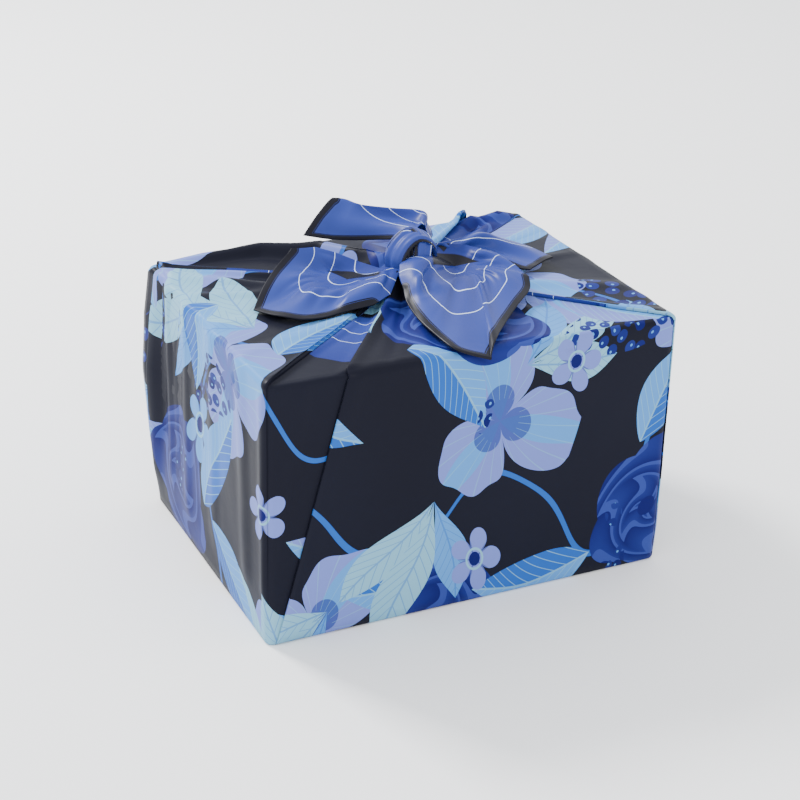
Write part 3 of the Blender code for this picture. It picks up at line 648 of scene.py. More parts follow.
    def flat_places(self, line: dict[str, Array], points: Array, place: Array) -> Array:
        """Places on the flat cloth, as if each side's cloth were folded up and over its edge.

        Args:
            line: Column values.
            points: Points of the cloth.
            place: Place along the perimeter of each point.

        Returns:
            Flat x and y in metres.
        """
        level = np.array(points[..., 2])
        ringed = np.mod(place, SIZES.perimeter)
        offset = np.zeros_like(place)
        for edge in Side:
            here = (ringed >= edge.start) & (ringed < edge.start + edge.length)
            x, y = points[..., 0], points[..., 1]
            across = x * edge.along[0] + y * edge.along[1] + edge.length / 2
            half = (SIZES.depth if edge.value % 2 == 0 else SIZES.width) / 2
            inward = half - x * edge.outward[0] - y * edge.outward[1]
            on_top = np.zeros_like(here)
            on_top[:, -self.top_rows:] = True
            level = np.where(here & on_top, SIZES.height + inward, level)
            offset = np.where(here & on_top, edge.start + across, offset)
            offset = np.where(here & ~on_top, ringed, offset)
        flat = np.zeros((*place.shape, 2))
        for side in Side:
            mine = line["side"] == side.value
            across = np.mod(offset - side.start + self.overlap, SIZES.perimeter)
            across = across - self.overlap - side.length / 2
            out = (SIZES.depth if side.value % 2 == 0 else SIZES.width) / 2 + level
            (ax, ay), (ox, oy) = side.along, side.outward
            flat[..., 0] = np.where(mine, (across * ax + out * ox) * MM, flat[..., 0])
            flat[..., 1] = np.where(mine, (across * ay + out * oy) * MM, flat[..., 1])
        return flat

    def build(self) -> bpy.types.Object:
        """Make the folded cloth."""
        points, flat = self.surface()
        piece = grid_piece(self.name, points, flat, True)
        finish_mesh(piece, outward=True)
        give_thickness(piece, self.thickness, -1.0)
        piece.data.shade_smooth()
        return piece


def spline(points: Array, shares: Array, closed: bool) -> Array:
    """Smooth curve through points.

    Args:
        points: Points as count by 3.
        shares: Places along the curve, from 0 to the number of spans.
        closed: Whether the curve runs on from the last point to the first.

    Returns:
        One point for each share.
    """
    count = len(points)
    index = np.floor(shares).astype(int)
    if not closed:
        index = np.minimum(index, count - 2)
    local = (shares - index)[:, None]

    def at(i: Array) -> Array:
        """Control points by number."""
        return points[i % count] if closed else points[np.clip(i, 0, count - 1)]

    p0, p1, p2, p3 = at(index - 1), at(index), at(index + 1), at(index + 2)
    return 0.5 * (
        2 * p1 + (p2 - p0) * local + (2 * p0 - 5 * p1 + 4 * p2 - p3) * local ** 2
        + (3 * p1 - p0 - 3 * p2 + p3) * local ** 3
    )


def line_through(points: Array, shares: Array) -> Array:
    """Straight stretches through points, closed, at shares counted in stretches."""
    count = len(points)
    index = np.floor(shares).astype(int)
    local = (shares - index)[:, None]
    return points[index % count] * (1 - local) + points[(index + 1) % count] * local


def distance_to(points: Array, path: Array) -> Array:
    """Distance of points to a broken line.

    Args:
        points: Points as any shape by 3.
        path: Corners of the line as count by 3.

    Returns:
        Least distance of each point.
    """
    best = np.full(points.shape[:-1], 1e9)
    for a, b in zip(path[:-1], path[1:]):
        along = b - a
        share = np.clip(((points - a) @ along) / (along @ along), 0.0, 1.0)
        best = np.minimum(best, np.linalg.norm(points - a - share[..., None] * along, axis=-1))
    return best


class Tail:
    """What the four free tails share: hem, thickness and places on the flat cloth."""

    name: str
    thickness: float = 0.9
    hem_share: float = 0.55
    side_stretch: float = 1.0

    @staticmethod
    def lifted(rows: Sequence) -> Array:
        """Table points with heights counted from the ground."""
        points = np.array(rows, dtype=float)
        points[..., 2] += SIZES.height
        return points

    def sheet(self, points: Array, smooth: Array, hems: Sequence[Array], closed: bool,
              hollow: Array) -> bpy.types.Object:
        """Make the tail's mesh with its hem.

        Args:
            points: Grid points in millimetres.
            smooth: The same points before the creases, which the distances are taken from.
            hems: The two hemmed borders, each as a broken line.
            closed: Whether the grid's last column joins its first.
            hollow: Share of dark cloth at each point.

        Returns:
            The tail.
        """
        flat = np.stack([distance_to(smooth, hem) for hem in hems], axis=-1) * MM
        flat[..., 1] *= self.side_stretch
        piece = grid_piece(self.name, points, flat, closed, hollow)
        finish_mesh(piece, outward=False)
        group = piece.vertex_groups.new(name="hem")
        near = np.minimum(flat[..., 0], flat[..., 1])
        uv = piece.data.uv_layers["flat"].data
        for face in piece.data.polygons:
            for loop in face.loop_indices:
                u, v = uv[loop].uv
                weight = 1.0 if min(u, v) < SIZES.hem * MM else 0.0
                group.add([piece.data.loops[loop].vertex_index], weight, "REPLACE")
        LOG.info("%s reaches %.0f mm from its hems", self.name, near.max() / MM)
        give_thickness(piece, self.thickness, 0.0, "hem", self.hem_share)
        piece.data.shade_smooth()
        return piece


def polar(centre: Array, bearing: float, reach: float, height: float) -> Array:
    """Point at a bearing in degrees and a reach from a centre, at a height over the top."""
    angle = math.radians(bearing)
    return np.array([centre[0] + reach * math.cos(angle), centre[1] + reach * math.sin(angle), height])


@dataclass(frozen=True)
class CupSection:
    """One section of a curled tail, by bearing in degrees and reach from the middle of its hollow."""

    edge_at: float
    edge_reach: float
    edge_up: float
    rim_at: float
    rim_reach: float
    rim_up: float
    swell_up: float = 0.0
    swell_out: float = 0.0

    def points(self, hollow: Array) -> list[Array]:
        """Points from the outer edge to the middle of the hollow.

        Args:
            hollow: Middle of the hollow.

        Returns:
            Edge, middle, rim, wall and middle of the hollow.
        """
        edge = polar(hollow, self.edge_at, self.edge_reach, self.edge_up)
        rim = polar(hollow, self.rim_at, self.rim_reach, self.rim_up)
        middle = (edge + rim) / 2
        away = np.array([middle[0] - SIZES.knot_x, middle[1] - SIZES.knot_y, 0.0])
        middle = middle + away / np.linalg.norm(away) * self.swell_out
        middle[2] += self.swell_up
        return [edge, middle, rim, (rim + hollow) / 2, hollow]


@dataclass(frozen=True)
class SheetSection:
    """One section across a flat tail: its middle, width, bearing, tilt and swell."""

    x: float
    y: float
    up: float
    width: float
    bearing: float
    tilt: float
    swell: float

    def points(self) -> list[Array]:
        """Five points from the upper to the lower border."""
        slope = math.radians(self.tilt)
        across = polar(np.zeros(3), self.bearing, math.cos(slope), math.sin(slope))
        middle = np.array([self.x, self.y, self.up])
        return [
            middle + across * side * self.width / 2 + np.array([0.0, 0.0, self.swell * (1.0 - side * side)])
            for side in (1.0, 0.5, 0.0, -0.5, -1.0)
        ]


@dataclass(frozen=True)
class CrestSection:
    """One section over a standing tail: its crest, then reach and drop to the front and the back."""

    x: float
    y: float
    up: float
    bearing: float
    front: float
    front_drop: float
    back: float
    back_drop: float
    swell: float = 2.0

    def points(self) -> list[Array]:
        """Five points from the front border over the crest to the back border."""
        crest = np.array([self.x, self.y, self.up])
        low = polar(crest, self.bearing, self.front, self.up - self.front_drop)
        foot = polar(crest, self.bearing, -self.back, self.up - self.back_drop)
        bulge = np.array([0.0, 0.0, self.swell])
        return [low, (low + crest) / 2 + bulge, crest, (crest + foot) / 2 + bulge, foot]


@dataclass(frozen=True)
class Crease:
    """A pull in a tail: a soft ridge or trough along its grid, narrower at its start.

    The line runs from (at, down) to (to_at, to_down): sections round the tail, then rings inwards.
    The end share is how far from nothing the height starts and ends.
    """

    at: float
    down: float
    to_at: float
    to_down: float
    half_width: float
    height: float
    start_width: float = 0.5
    end_share: float = 0.15

    def lift(self, at: Array, down: Array, around: float) -> Array:
        """Height that the crease adds.

        Args:
            at: Section number of each point.
            down: Ring number of each point.
            around: Number of sections that close the ring, or 0 on an open sheet.

        Returns:
            The added height at each point.
        """
        total = np.zeros(np.broadcast(at, down).shape)
        for turn in ((-around, 0.0, around) if around else (0.0,)):
            da, db = self.to_at - self.at, self.to_down - self.down
            a = at + turn - self.at
            share = np.clip((a * da + (down - self.down) * db) / (da * da + db * db), 0.0, 1.0)
            away = np.hypot(a - share * da, down - self.down - share * db)
            reach = self.half_width * (self.start_width + (1.0 - self.start_width) * share)
            hump = 0.5 + 0.5 * np.cos(np.pi * np.minimum(away / reach, 1.0))
            along = self.end_share + (1.0 - 2 * self.end_share) * share
            total = total + self.height * hump * np.sin(np.pi * along)
        return total


def pulled(grid: Array, creases: Sequence[Crease], at: Array, down: Array, around: float) -> Array:
    """Grid moved along its own normals by creases.

    Args:
        grid: Points as columns by rows by 3.
        creases: The creases.
        at: Section number of each column.
        down: Ring number of each row.
        around: Number of sections that close the ring, or 0 on an open sheet.

    Returns:
        The moved grid.
    """
    if around:
        along = np.roll(grid, -1, axis=0) - np.roll(grid, 1, axis=0)
    else:
        along = np.gradient(grid, axis=0)
    normal = np.cross(along, np.gradient(grid, axis=1))
    length = np.linalg.norm(normal, axis=-1, keepdims=True)
    normal = normal / np.maximum(length, 1e-9)
    normal = np.where(normal[..., 2:] < 0.0, -normal, normal)
    lift = sum(crease.lift(at[:, None], down[None, :], around) for crease in creases)
    calm = np.clip((down.max() - down) / HOLLOW_CALM, 0.0, 1.0)[None, :] if around else 1.0
    return grid + normal * (lift * calm)[..., None]


@dataclass
class CupTail(Tail):
    """A tail whose cloth curls round a hollow between the knot and its hemmed corner."""

    name: str
    sections: Sequence[CupSection]
    hollow: tuple[float, float, float]
    tip: int
    hem_start: int
    hem_end: int
    dark: tuple[float, float]
    creases: Sequence[Crease] = ()
    dark_from: float = 2.2
    dark_wave: float = 0.1
    dark_turns: float = 2.3
    dark_soft: float = 0.1
    around: int = 12
    inward: int = 44
    hem_points: int = 40

    def build(self) -> bpy.types.Object:
        """Make the tail."""
        rows = self.lifted([section.points(np.array(self.hollow)) for section in self.sections])
        count = len(rows)
        shares = np.arange(count * self.around) / self.around
        hems = (rows[self.hem_start:self.tip + 1, 0], rows[self.tip:self.hem_end + 1, 0])
        edge = line_through(rows[:, 0], shares)
        for first, hem in zip((self.hem_start, self.tip), hems):
            on_hem = (shares >= first) & (shares <= first + len(hem) - 1)
            edge[on_hem] = spline(hem, shares[on_hem] - first, False)
        rings = [edge] + [spline(rows[:, ring], shares, True) for ring in (1, 2, 3)]
        hems = tuple(spline(hem, np.linspace(0.0, len(hem) - 1.0, self.hem_points), False) for hem in hems)
        down = np.linspace(0.0, 4.0, self.inward)
        grid = np.empty((len(shares), self.inward, 3))
        for k in range(len(shares)):
            controls = np.array([ring[k] for ring in rings] + [rows[0, 4]])
            grid[k] = spline(controls, down, False)
        creased = pulled(grid, self.creases, shares, down, float(count))
        into = np.mod(shares - self.dark[0], count)[:, None]
        span = self.dark[1] - self.dark[0]
        wave = self.dark_from + self.dark_wave * np.sin(into * self.dark_turns)
        hollow = np.clip((down[None, :] - wave) / self.dark_soft, 0.0, 1.0)
        hollow = hollow * np.clip((span - into) / self.dark_soft, 0.0, 1.0)
        return self.sheet(creased, grid, hems, True, hollow)


@dataclass
class SheetTail(Tail):
    """A tail that is an open sheet from the knot to its free end."""

    name: str
    sections: Sequence[SheetSection | CrestSection]
    hemmed: int
    creases: Sequence[Crease] = ()
    side_stretch: float = 1.0
    along: int = 72
    across: int = 40

    def build(self) -> bpy.types.Object:
        """Make the tail, hemmed at its free end and along its first or last ring."""
        rows = self.lifted([section.points() for section in self.sections])
        count, width = rows.shape[:2]
        shares = np.linspace(0.0, count - 1, self.along)
        lines = [spline(rows[:, c], shares, False) for c in range(width)]
        over = np.linspace(0.0, width - 1, self.across)
        grid = np.empty((self.along, self.across, 3))
        for k in range(self.along):
            grid[k] = spline(np.array([line[k] for line in lines]), over, False)
        creased = pulled(grid, self.creases, shares, over, 0.0)
        hems = (rows[-1], lines[self.hemmed][self.along // count:])
        return self.sheet(creased, grid, hems, False, np.zeros(grid.shape[:2]))


LEFT_TAIL_HOLLOW = (-41.0, 11.0, 10.0)
LEFT_TAIL = (
    CupSection(290.0, 42.0, 12.0, 293.0, 30.0, 18.0, 1.0, 3.0),
    CupSection(269.0, 46.0, 9.0, 275.0, 27.0, 18.0, 1.0, 3.0),
    CupSection(250.0, 48.0, 7.0, 250.0, 28.0, 15.0, 1.0, 3.0),
    CupSection(232.0, 56.0, 5.0, 225.0, 32.0, 13.0, 0.0, 1.0),
    CupSection(219.0, 67.0, 5.0, 206.0, 34.0, 13.0, -1.0, 1.0),
    CupSection(205.0, 72.0, 5.0, 193.0, 34.0, 14.0, -1.0, 1.0),
    CupSection(191.0, 76.0, 5.0, 184.0, 33.0, 14.0, -1.0, 0.0),
    CupSection(178.0, 62.0, 11.0, 174.0, 30.0, 14.0, -1.0, 0.0),
    CupSection(160.0, 50.0, 18.0, 158.0, 25.0, 14.0, 0.0, 0.0),
    CupSection(136.0, 41.0, 27.0, 135.0, 20.0, 14.0, 0.0, 0.0),
    CupSection(112.0, 31.0, 25.0, 112.0, 17.0, 13.0, 0.0, 0.0),
    CupSection(85.0, 23.0, 21.0, 85.0, 13.0, 12.0, 0.0, 0.0),
    CupSection(40.0, 20.0, 16.0, 40.0, 12.0, 12.0, 0.0, 0.0),
    CupSection(0.0, 24.0, 15.0, 350.0, 16.0, 13.0, 0.0, 0.0),
    CupSection(340.0, 38.0, 21.0, 335.0, 24.0, 16.0, 0.0, 0.0),
)
LEFT_CREASES = (
    Crease(14.2, 2.0, 17.6, 0.5, 1.2, 2.5),
    Crease(2.2, 2.1, 3.0, 0.4, 0.9, -2.9),
    Crease(3.6, 2.2, 4.6, 0.5, 0.9, 2.8),
    Crease(5.6, 2.2, 6.0, 0.6, 1.1, -2.0),
    Crease(7.6, 2.2, 7.2, 0.5, 1.1, 2.0),
    Crease(9.0, 2.1, 9.0, 0.5, 1.1, -2.3),
    Crease(10.4, 2.0, 10.4, 0.6, 1.1, 2.5),
)

FRONT_TAIL_HOLLOW = (36.0, -1.0, 13.0)
FRONT_TAIL = (
    CupSection(190.0, 48.0, 24.0, 204.0, 28.0, 27.0, 3.0, 4.0),
    CupSection(199.0, 55.0, 20.0, 214.0, 35.0, 24.0, 3.0, 8.0),
    CupSection(209.0, 62.0, 15.0, 219.0, 42.0, 21.0, 2.0, 9.0),
    CupSection(216.0, 71.0, 11.0, 228.0, 48.0, 18.0, 1.0, 6.0),
    CupSection(228.0, 90.0, 8.0, 235.0, 44.0, 16.0, 1.0, 2.0),
    CupSection(237.0, 108.0, 6.0, 243.0, 36.0, 15.0, 1.0, 0.0),
    CupSection(244.0, 125.0, 5.0, 256.0, 33.0, 15.0, 1.0, 0.0),
    CupSection(254.0, 127.0, -2.0, 268.0, 31.0, 14.0, 2.0, 2.0),
    CupSection(257.0, 112.0, 5.0, 277.0, 31.0, 14.0, 1.0, 0.0),
    CupSection(265.0, 89.0, 6.0, 286.0, 32.0, 14.0, 1.0, 0.0),
    CupSection(280.0, 70.0, 8.0, 295.0, 31.0, 15.0, 1.0, 0.0),
    CupSection(301.0, 60.0, 10.0, 302.0, 27.0, 16.0, 2.0, 0.0),
    CupSection(313.0, 54.0, 15.0, 312.0, 24.0, 17.0, 2.0, 0.0),
    CupSection(325.0, 42.0, 18.0, 328.0, 22.0, 17.0, 2.0, 0.0),
    CupSection(350.0, 28.0, 21.0, 350.0, 17.0, 17.0, 1.0, 0.0),
    CupSection(40.0, 18.0, 23.0, 40.0, 12.0, 18.0, 0.0, 0.0),
    CupSection(100.0, 17.0, 25.0, 110.0, 11.0, 20.0, 0.0, 0.0),
    CupSection(172.0, 32.0, 27.0, 165.0, 20.0, 25.0, 0.0, 0.0),
)
FRONT_CREASES = (
    Crease(1.0, 2.0, 3.4, 1.0, 1.1, -3.3),
    Crease(1.6, 1.2, 4.6, 0.6, 0.9, 2.9),
    Crease(5.0, 2.1, 6.0, 0.4, 1.1, -2.0),
    Crease(7.6, 2.2, 7.4, 0.5, 1.2, 2.8),
    Crease(9.2, 2.2, 9.0, 0.5, 1.3, -1.5),
    Crease(11.0, 2.2, 10.6, 0.5, 1.3, 1.6),
    Crease(12.8, 2.1, 12.4, 0.5, 1.1, -2.5),
    Crease(14.4, 2.0, 14.0, 0.5, 1.1, 2.5),
)

RIGHT_TAIL = (
    SheetSection(15.0, 6.0, 25.0, 15.0, 230.0, 52.0, 1.0),
    SheetSection(46.0, 18.0, 17.0, 16.0, 160.0, 74.0, 1.0),
    SheetSection(69.0, 24.0, 15.0, 23.0, 75.0, 37.0, 3.0),
    SheetSection(83.0, 18.0, 11.0, 33.0, 68.0, 14.0, 3.0),
    SheetSection(96.0, 8.0, 8.0, 37.0, 52.0, 5.0, 2.0),
    SheetSection(103.0, -5.0, 7.0, 29.0, 27.0, 2.0, 1.0),
)
RIGHT_CREASES = (
    Crease(0.2, 1.4, 3.4, 1.0, 1.4, 2.9),
    Crease(0.2, 2.6, 4.0, 2.4, 1.4, -3.3),
    Crease(0.4, 3.4, 3.2, 3.2, 1.1, 2.0),
)

BACK_TAIL = (
    CrestSection(19.0, 18.0, 40.0, 200.0, 18.0, 7.0, 8.0, 14.0),
    CrestSection(27.0, 34.0, 43.0, 207.0, 28.0, 13.0, 9.0, 18.0),
    CrestSection(7.0, 47.0, 44.0, 213.0, 17.0, 19.0, 9.0, 20.0),
    CrestSection(-9.0, 59.0, 45.0, 214.0, 14.0, 23.0, 10.0, 22.0),
    CrestSection(-17.0, 70.0, 46.0, 208.0, 19.0, 25.0, 12.0, 22.0),
    CrestSection(-25.0, 75.0, 46.0, 192.0, 25.0, 23.0, 14.0, 20.0),
)
BACK_CREASES = (
    Crease(0.2, 0.6, 4.2, 0.8, 1.1, 2.9),
    Crease(0.2, 1.2, 3.4, 1.5, 1.1, -3.3),
    Crease(0.4, 3.0, 4.0, 3.0, 1.2, -2.5),
)

KNOT_BAND = (
    (-8.0, 2.0, 12.0), (-10.0, 1.0, 24.0), (-4.0, 3.0, 33.0), (5.0, 4.0, 38.0),
    (14.0, 5.0, 35.0), (19.0, 7.0, 27.0), (19.0, 9.0, 15.0),
)
KNOT_UNDER_BAND = (
    (-6.0, 14.0, 14.0), (-6.0, 16.0, 26.0), (2.0, 16.0, 35.0), (10.0, 12.0, 38.0),
    (12.0, 2.0, 36.0), (8.0, -6.0, 29.0), (6.0, -9.0, 16.0),
)


@dataclass
class KnotBand:
    """A creased band of cloth round the knot."""

    name: str
    path: Sequence[tuple[float, float, float]]
    half_width: float
    half_thickness: float
    heart_up: float = 22.0
    tangent_step: float = 0.05
    wide: tuple[float, float, float] = (0.2, 5.0, 1.5)
    fine: tuple[float, float, float] = (0.18, 9.0, 2.0)
    rounding: float = 0.2
    flat_length: float = 90.0
    along: int = 64
    sides: int = 48

    def creases(self, turn: Array, share: float) -> Array:
        """Relative depth of the wide creases, which turn along the band, and of the fine ones."""
        wide_depth, wide_count, wide_turn = self.wide
        fine_depth, fine_count, fine_phase = self.fine
        fade = math.sin(math.pi * share)
        return (
            1.0 + wide_depth * np.cos(wide_count * turn + wide_turn * share)
            - fine_depth * fade * np.cos(fine_count * turn + fine_phase)
        )

    def build(self) -> bpy.types.Object:
        """Make the band."""
        path = Tail.lifted(self.path)
        heart = np.array([SIZES.knot_x, SIZES.knot_y, SIZES.height + self.heart_up])
        shares = np.linspace(0.0, len(path) - 1.0, self.along)
        centre = spline(path, shares, False)
        ahead = spline(path, np.minimum(shares + self.tangent_step, len(path) - 1.0), False)
        behind = spline(path, np.maximum(shares - self.tangent_step, 0.0), False)
        turn = np.linspace(0.0, 2 * math.pi, self.sides, endpoint=False)
        rings = []
        for k in range(self.along):
            tangent = ahead[k] - behind[k]
            tangent = tangent / np.linalg.norm(tangent)
            out = centre[k] - heart
            out = out - tangent * (out @ tangent)
            out = out / np.linalg.norm(out)
            side = np.cross(tangent, out)
            depth = self.creases(turn, k / (self.along - 1))
            width = self.half_width * (1.0 - self.rounding + self.rounding * depth)
            rings.append(
                centre[k] + (np.cos(turn) * width)[:, None] * side
                + (np.sin(turn) * self.half_thickness * depth)[:, None] * out
            )
        points = np.array(rings).transpose(1, 0, 2)
        flat = np.stack(np.meshgrid(
            np.linspace(0.0, 2 * math.pi * self.half_width, self.sides) * MM,
            np.linspace(0.0, self.flat_length, self.along) * MM, indexing="ij"), axis=-1)
        piece = grid_piece(self.name, points, flat, True)
        finish_mesh(piece, outward=False)
        close_ends(piece)
        return piece


@dataclass
class KnotCore:
    """The pulled cloth inside the knot: a pleated ball."""

    name: str = "knot_heart"
    up: float = 23.5
    radii: tuple[float, float, float] = (13.5, 13.0, 14.0)
    pleats: int = 9
    depth: float = 0.07
    lean: float = 2.2
    fine_share: float = 0.6
    fine_lean: float = -1.3
    pole: float = 0.002
    flat_start: tuple[float, float] = (0.02, 0.1)
    flat_rate: tuple[float, float] = (0.012, 0.03)
    around: int = 72
    rings: int = 36

    def build(self) -> bpy.types.Object:
        """Make the ball."""
        turn = np.linspace(0.0, 2 * math.pi, self.around, endpoint=False)[:, None]
        steepest = math.pi / 2 - self.pole
        tilt = np.linspace(-steepest, steepest, self.rings)[None, :]
        pleat = np.cos(self.pleats * turn + self.lean * tilt)
        pleat = pleat + self.fine_share * np.cos(2 * self.pleats * turn + self.fine_lean * tilt)
        swell = 1.0 + self.depth * pleat * np.cos(tilt)
        points = np.stack(np.broadcast_arrays(
            SIZES.knot_x + self.radii[0] * swell * np.cos(turn) * np.cos(tilt),
            SIZES.knot_y + self.radii[1] * swell * np.sin(turn) * np.cos(tilt),
            SIZES.height + self.up + self.radii[2] * np.sin(tilt),
        ), axis=-1)
        flat = np.stack(np.broadcast_arrays(
            self.flat_start[0] + self.flat_rate[0] * turn, self.flat_start[1] + self.flat_rate[1] * tilt,
        ), axis=-1)
        piece = grid_piece(self.name, points, flat, True)
        finish_mesh(piece, outward=False)
        close_ends(piece)
        return piece


def linear(colour: tuple[int, int, int]) -> tuple[float, float, float, float]:
    """Colour for a socket from its red, green and blue out of 255."""
    parts = [value / 255 for value in colour]
    return (*((p / 12.92 if p <= 0.04045 else ((p + 0.055) / 1.055) ** 2.4) for p in parts), 1.0)


@dataclass(frozen=True)
class Wire:
    """One output socket that works in sums as a number does."""

    graph: "Graph"
    socket: bpy.types.NodeSocket

    def __add__(self, other: "Wire | float") -> "Wire":
        """Sum."""
        return self.graph.maths("ADD", self, other)

    __radd__ = __add__

    def __sub__(self, other: "Wire | float") -> "Wire":
        """Difference."""
        return self.graph.maths("SUBTRACT", self, other)

    def __rsub__(self, other: float) -> "Wire":
        """Difference from a number."""
        return self.graph.maths("SUBTRACT", other, self)

    def __mul__(self, other: "Wire | float") -> "Wire":
        """Product."""
        return self.graph.maths("MULTIPLY", self, other)

    __rmul__ = __mul__

    def __truediv__(self, other: "Wire | float") -> "Wire":
        """Quotient."""
        return self.graph.maths("DIVIDE", self, other)

    def __pow__(self, other: float) -> "Wire":
        """Power."""
        return self.graph.maths("POWER", self, other)

    def __abs__(self) -> "Wire":
        """Size without sign."""
        return self.graph.maths("ABSOLUTE", self)

    def __lt__(self, other: "Wire | float") -> "Wire":
        """One where this is less than the other, else zero."""
        return self.graph.maths("LESS_THAN", self, other)

    def __gt__(self, other: "Wire | float") -> "Wire":
        """One where this is more than the other, else zero."""
        return self.graph.maths("GREATER_THAN", self, other)


class Graph:
    """A material's nodes, with one method for every kind of node."""

    def __init__(self, name: str) -> None:
        """Start a material with a Principled shader.

        Args:
            name: Name of the material.
        """
        self.material = bpy.data.materials.new(name)
        self.material.use_nodes = True
        self.tree = self.material.node_tree
        self.shader = self.tree.nodes["Principled BSDF"]

    def node(self, kind: str, settings: dict[str, object],
             values: dict[str | int, object]) -> bpy.types.Node:
        """Add a node.

        Args:
            kind: The node's type.
            settings: The node's own settings, made first.
            values: Values or links of its sockets, by name or number.

        Returns:
            The node.
        """
        made = self.tree.nodes.new(kind)
        for key, value in settings.items():
            setattr(made, key, value)
        for key, value in values.items():
            self.feed(made.inputs[key], value)
        return made

    def feed(self, socket: bpy.types.NodeSocket, value: object) -> None:
        """Link a socket to a wire, or set it to a number or colour."""
        if isinstance(value, Wire):
            self.tree.links.new(value.socket, socket)
        else:
            socket.default_value = value

    def maths(self, operation: str, *terms: "Wire | float") -> Wire:
        """Add a Math node.

        Args:
            operation: The node's operation.
            terms: One or more wires or numbers.

        Returns:
            The result.
        """
        made = self.node("ShaderNodeMath", {"operation": operation}, dict(enumerate(terms)))
        return Wire(self, made.outputs[0])

    def blend(self, factor: "Wire | float", low: object, high: object) -> Wire:
        """Colour between two colours.

        Args:
            factor: Share of the second colour.
            low: First colour.
            high: Second colour.

        Returns:
            The mixed colour.
        """
        made = self.node("ShaderNodeMix", {"data_type": "RGBA"}, {0: factor, 6: low, 7: high})
        return Wire(self, made.outputs[2])

    def coordinates(self, uv_name: str) -> tuple[Wire, Wire, Wire]:
        """Vector, first and second number of a UV map."""
        vector = Wire(self, self.node("ShaderNodeUVMap", {"uv_map": uv_name}, {}).outputs[0])
        parts = self.node("ShaderNodeSeparateXYZ", {}, {0: vector})
        return vector, Wire(self, parts.outputs[0]), Wire(self, parts.outputs[1])

    def noise(self, place: Wire, scale: float, detail: float = 1.0) -> Wire:
        """Smooth noise around one half."""
        made = self.node("ShaderNodeTexNoise", {}, {"Vector": place, "Scale": scale, "Detail": detail})
        return Wire(self, made.outputs[0])


@dataclass(frozen=True)
class Palette:
    """Colours of the print."""

    ground: tuple[int, int, int] = (19, 19, 27)
    slate: tuple[int, int, int] = (25, 27, 40)
    sky: tuple[int, int, int] = (78, 134, 194)
    aqua: tuple[int, int, int] = (116, 164, 186)
    corn: tuple[int, int, int] = (34, 86, 164)
    royal: tuple[int, int, int] = (33, 45, 114)
    navy: tuple[int, int, int] = (16, 20, 84)
    lilac: tuple[int, int, int] = (104, 118, 184)
    peri: tuple[int, int, int] = (50, 65, 136)
    line: tuple[int, int, int] = (190, 206, 238)
    hem: tuple[int, int, int] = (24, 24, 32)


@dataclass(frozen=True)
class Net:
    """An uneven net of patches, of which a share hold one motif each, in metres and radians."""

    spacing: float
    jitter: float
    turn: float
    slide: float = 0.0
    share: float = 1.0


@dataclass(frozen=True)
class LeafShape:
    """A leaf or long petal, in metres: the tip is where the widest part lies, over or under one."""

    length: float
    half_width: float
    tip: float
    half_rib: float = 0.0007
    vein_spacing: float = 0.0085
    vein_share: float = 0.1
    vein_slope: float = 1.3


@dataclass(frozen=True)
class Cell:
    """Local place inside one motif's own patch of cloth."""

    x: Wire
    y: Wire
    pick: Wire
    other: Wire

    def polar(self, g: Graph) -> tuple[Wire, Wire]:
        """Distance and direction from the patch's middle."""
        radius = g.maths("SQRT", self.x * self.x + self.y * self.y)
        return radius, g.maths("ARCTAN2", self.y, self.x)


class EdgeSource(Enum):
    """How a piece knows its distance from the cloth's hems."""

    FLAT = "place on the flat cloth"
    HEMS = "distances from both hems"


SLIDE_SLANT = -0.7
LEAF_NETS = (Net(0.112, 0.4, 0.5, 0.0, 0.5), Net(0.112, 0.4, 2.9, 0.31, 0.26))
SPRIG_NETS = (Net(0.15, 0.3, 1.3, 0.0, 0.62), Net(0.15, 0.3, 0.2, 0.47, 0.24))
PETAL_NET = Net(0.165, 0.35, 2.6, 0.26, 0.55)
BLOOM_NET = Net(0.2, 0.3, 2.2, 0.0, 0.75)
BLOSSOM_NET = Net(0.124, 0.5, 0.15, 0.0, 0.62)
BERRY_NET = Net(0.0125, 0.45, 0.9)
LEAF = LeafShape(0.092, 0.0185, 0.8)
SPRIG_PETALS = (
    (30.0, "aqua", LeafShape(0.084, 0.015, 1.35)),
    (-30.0, "sky", LeafShape(0.086, 0.015, 1.35)),
    (2.0, "aqua", LeafShape(0.108, 0.015, 1.35)),
)


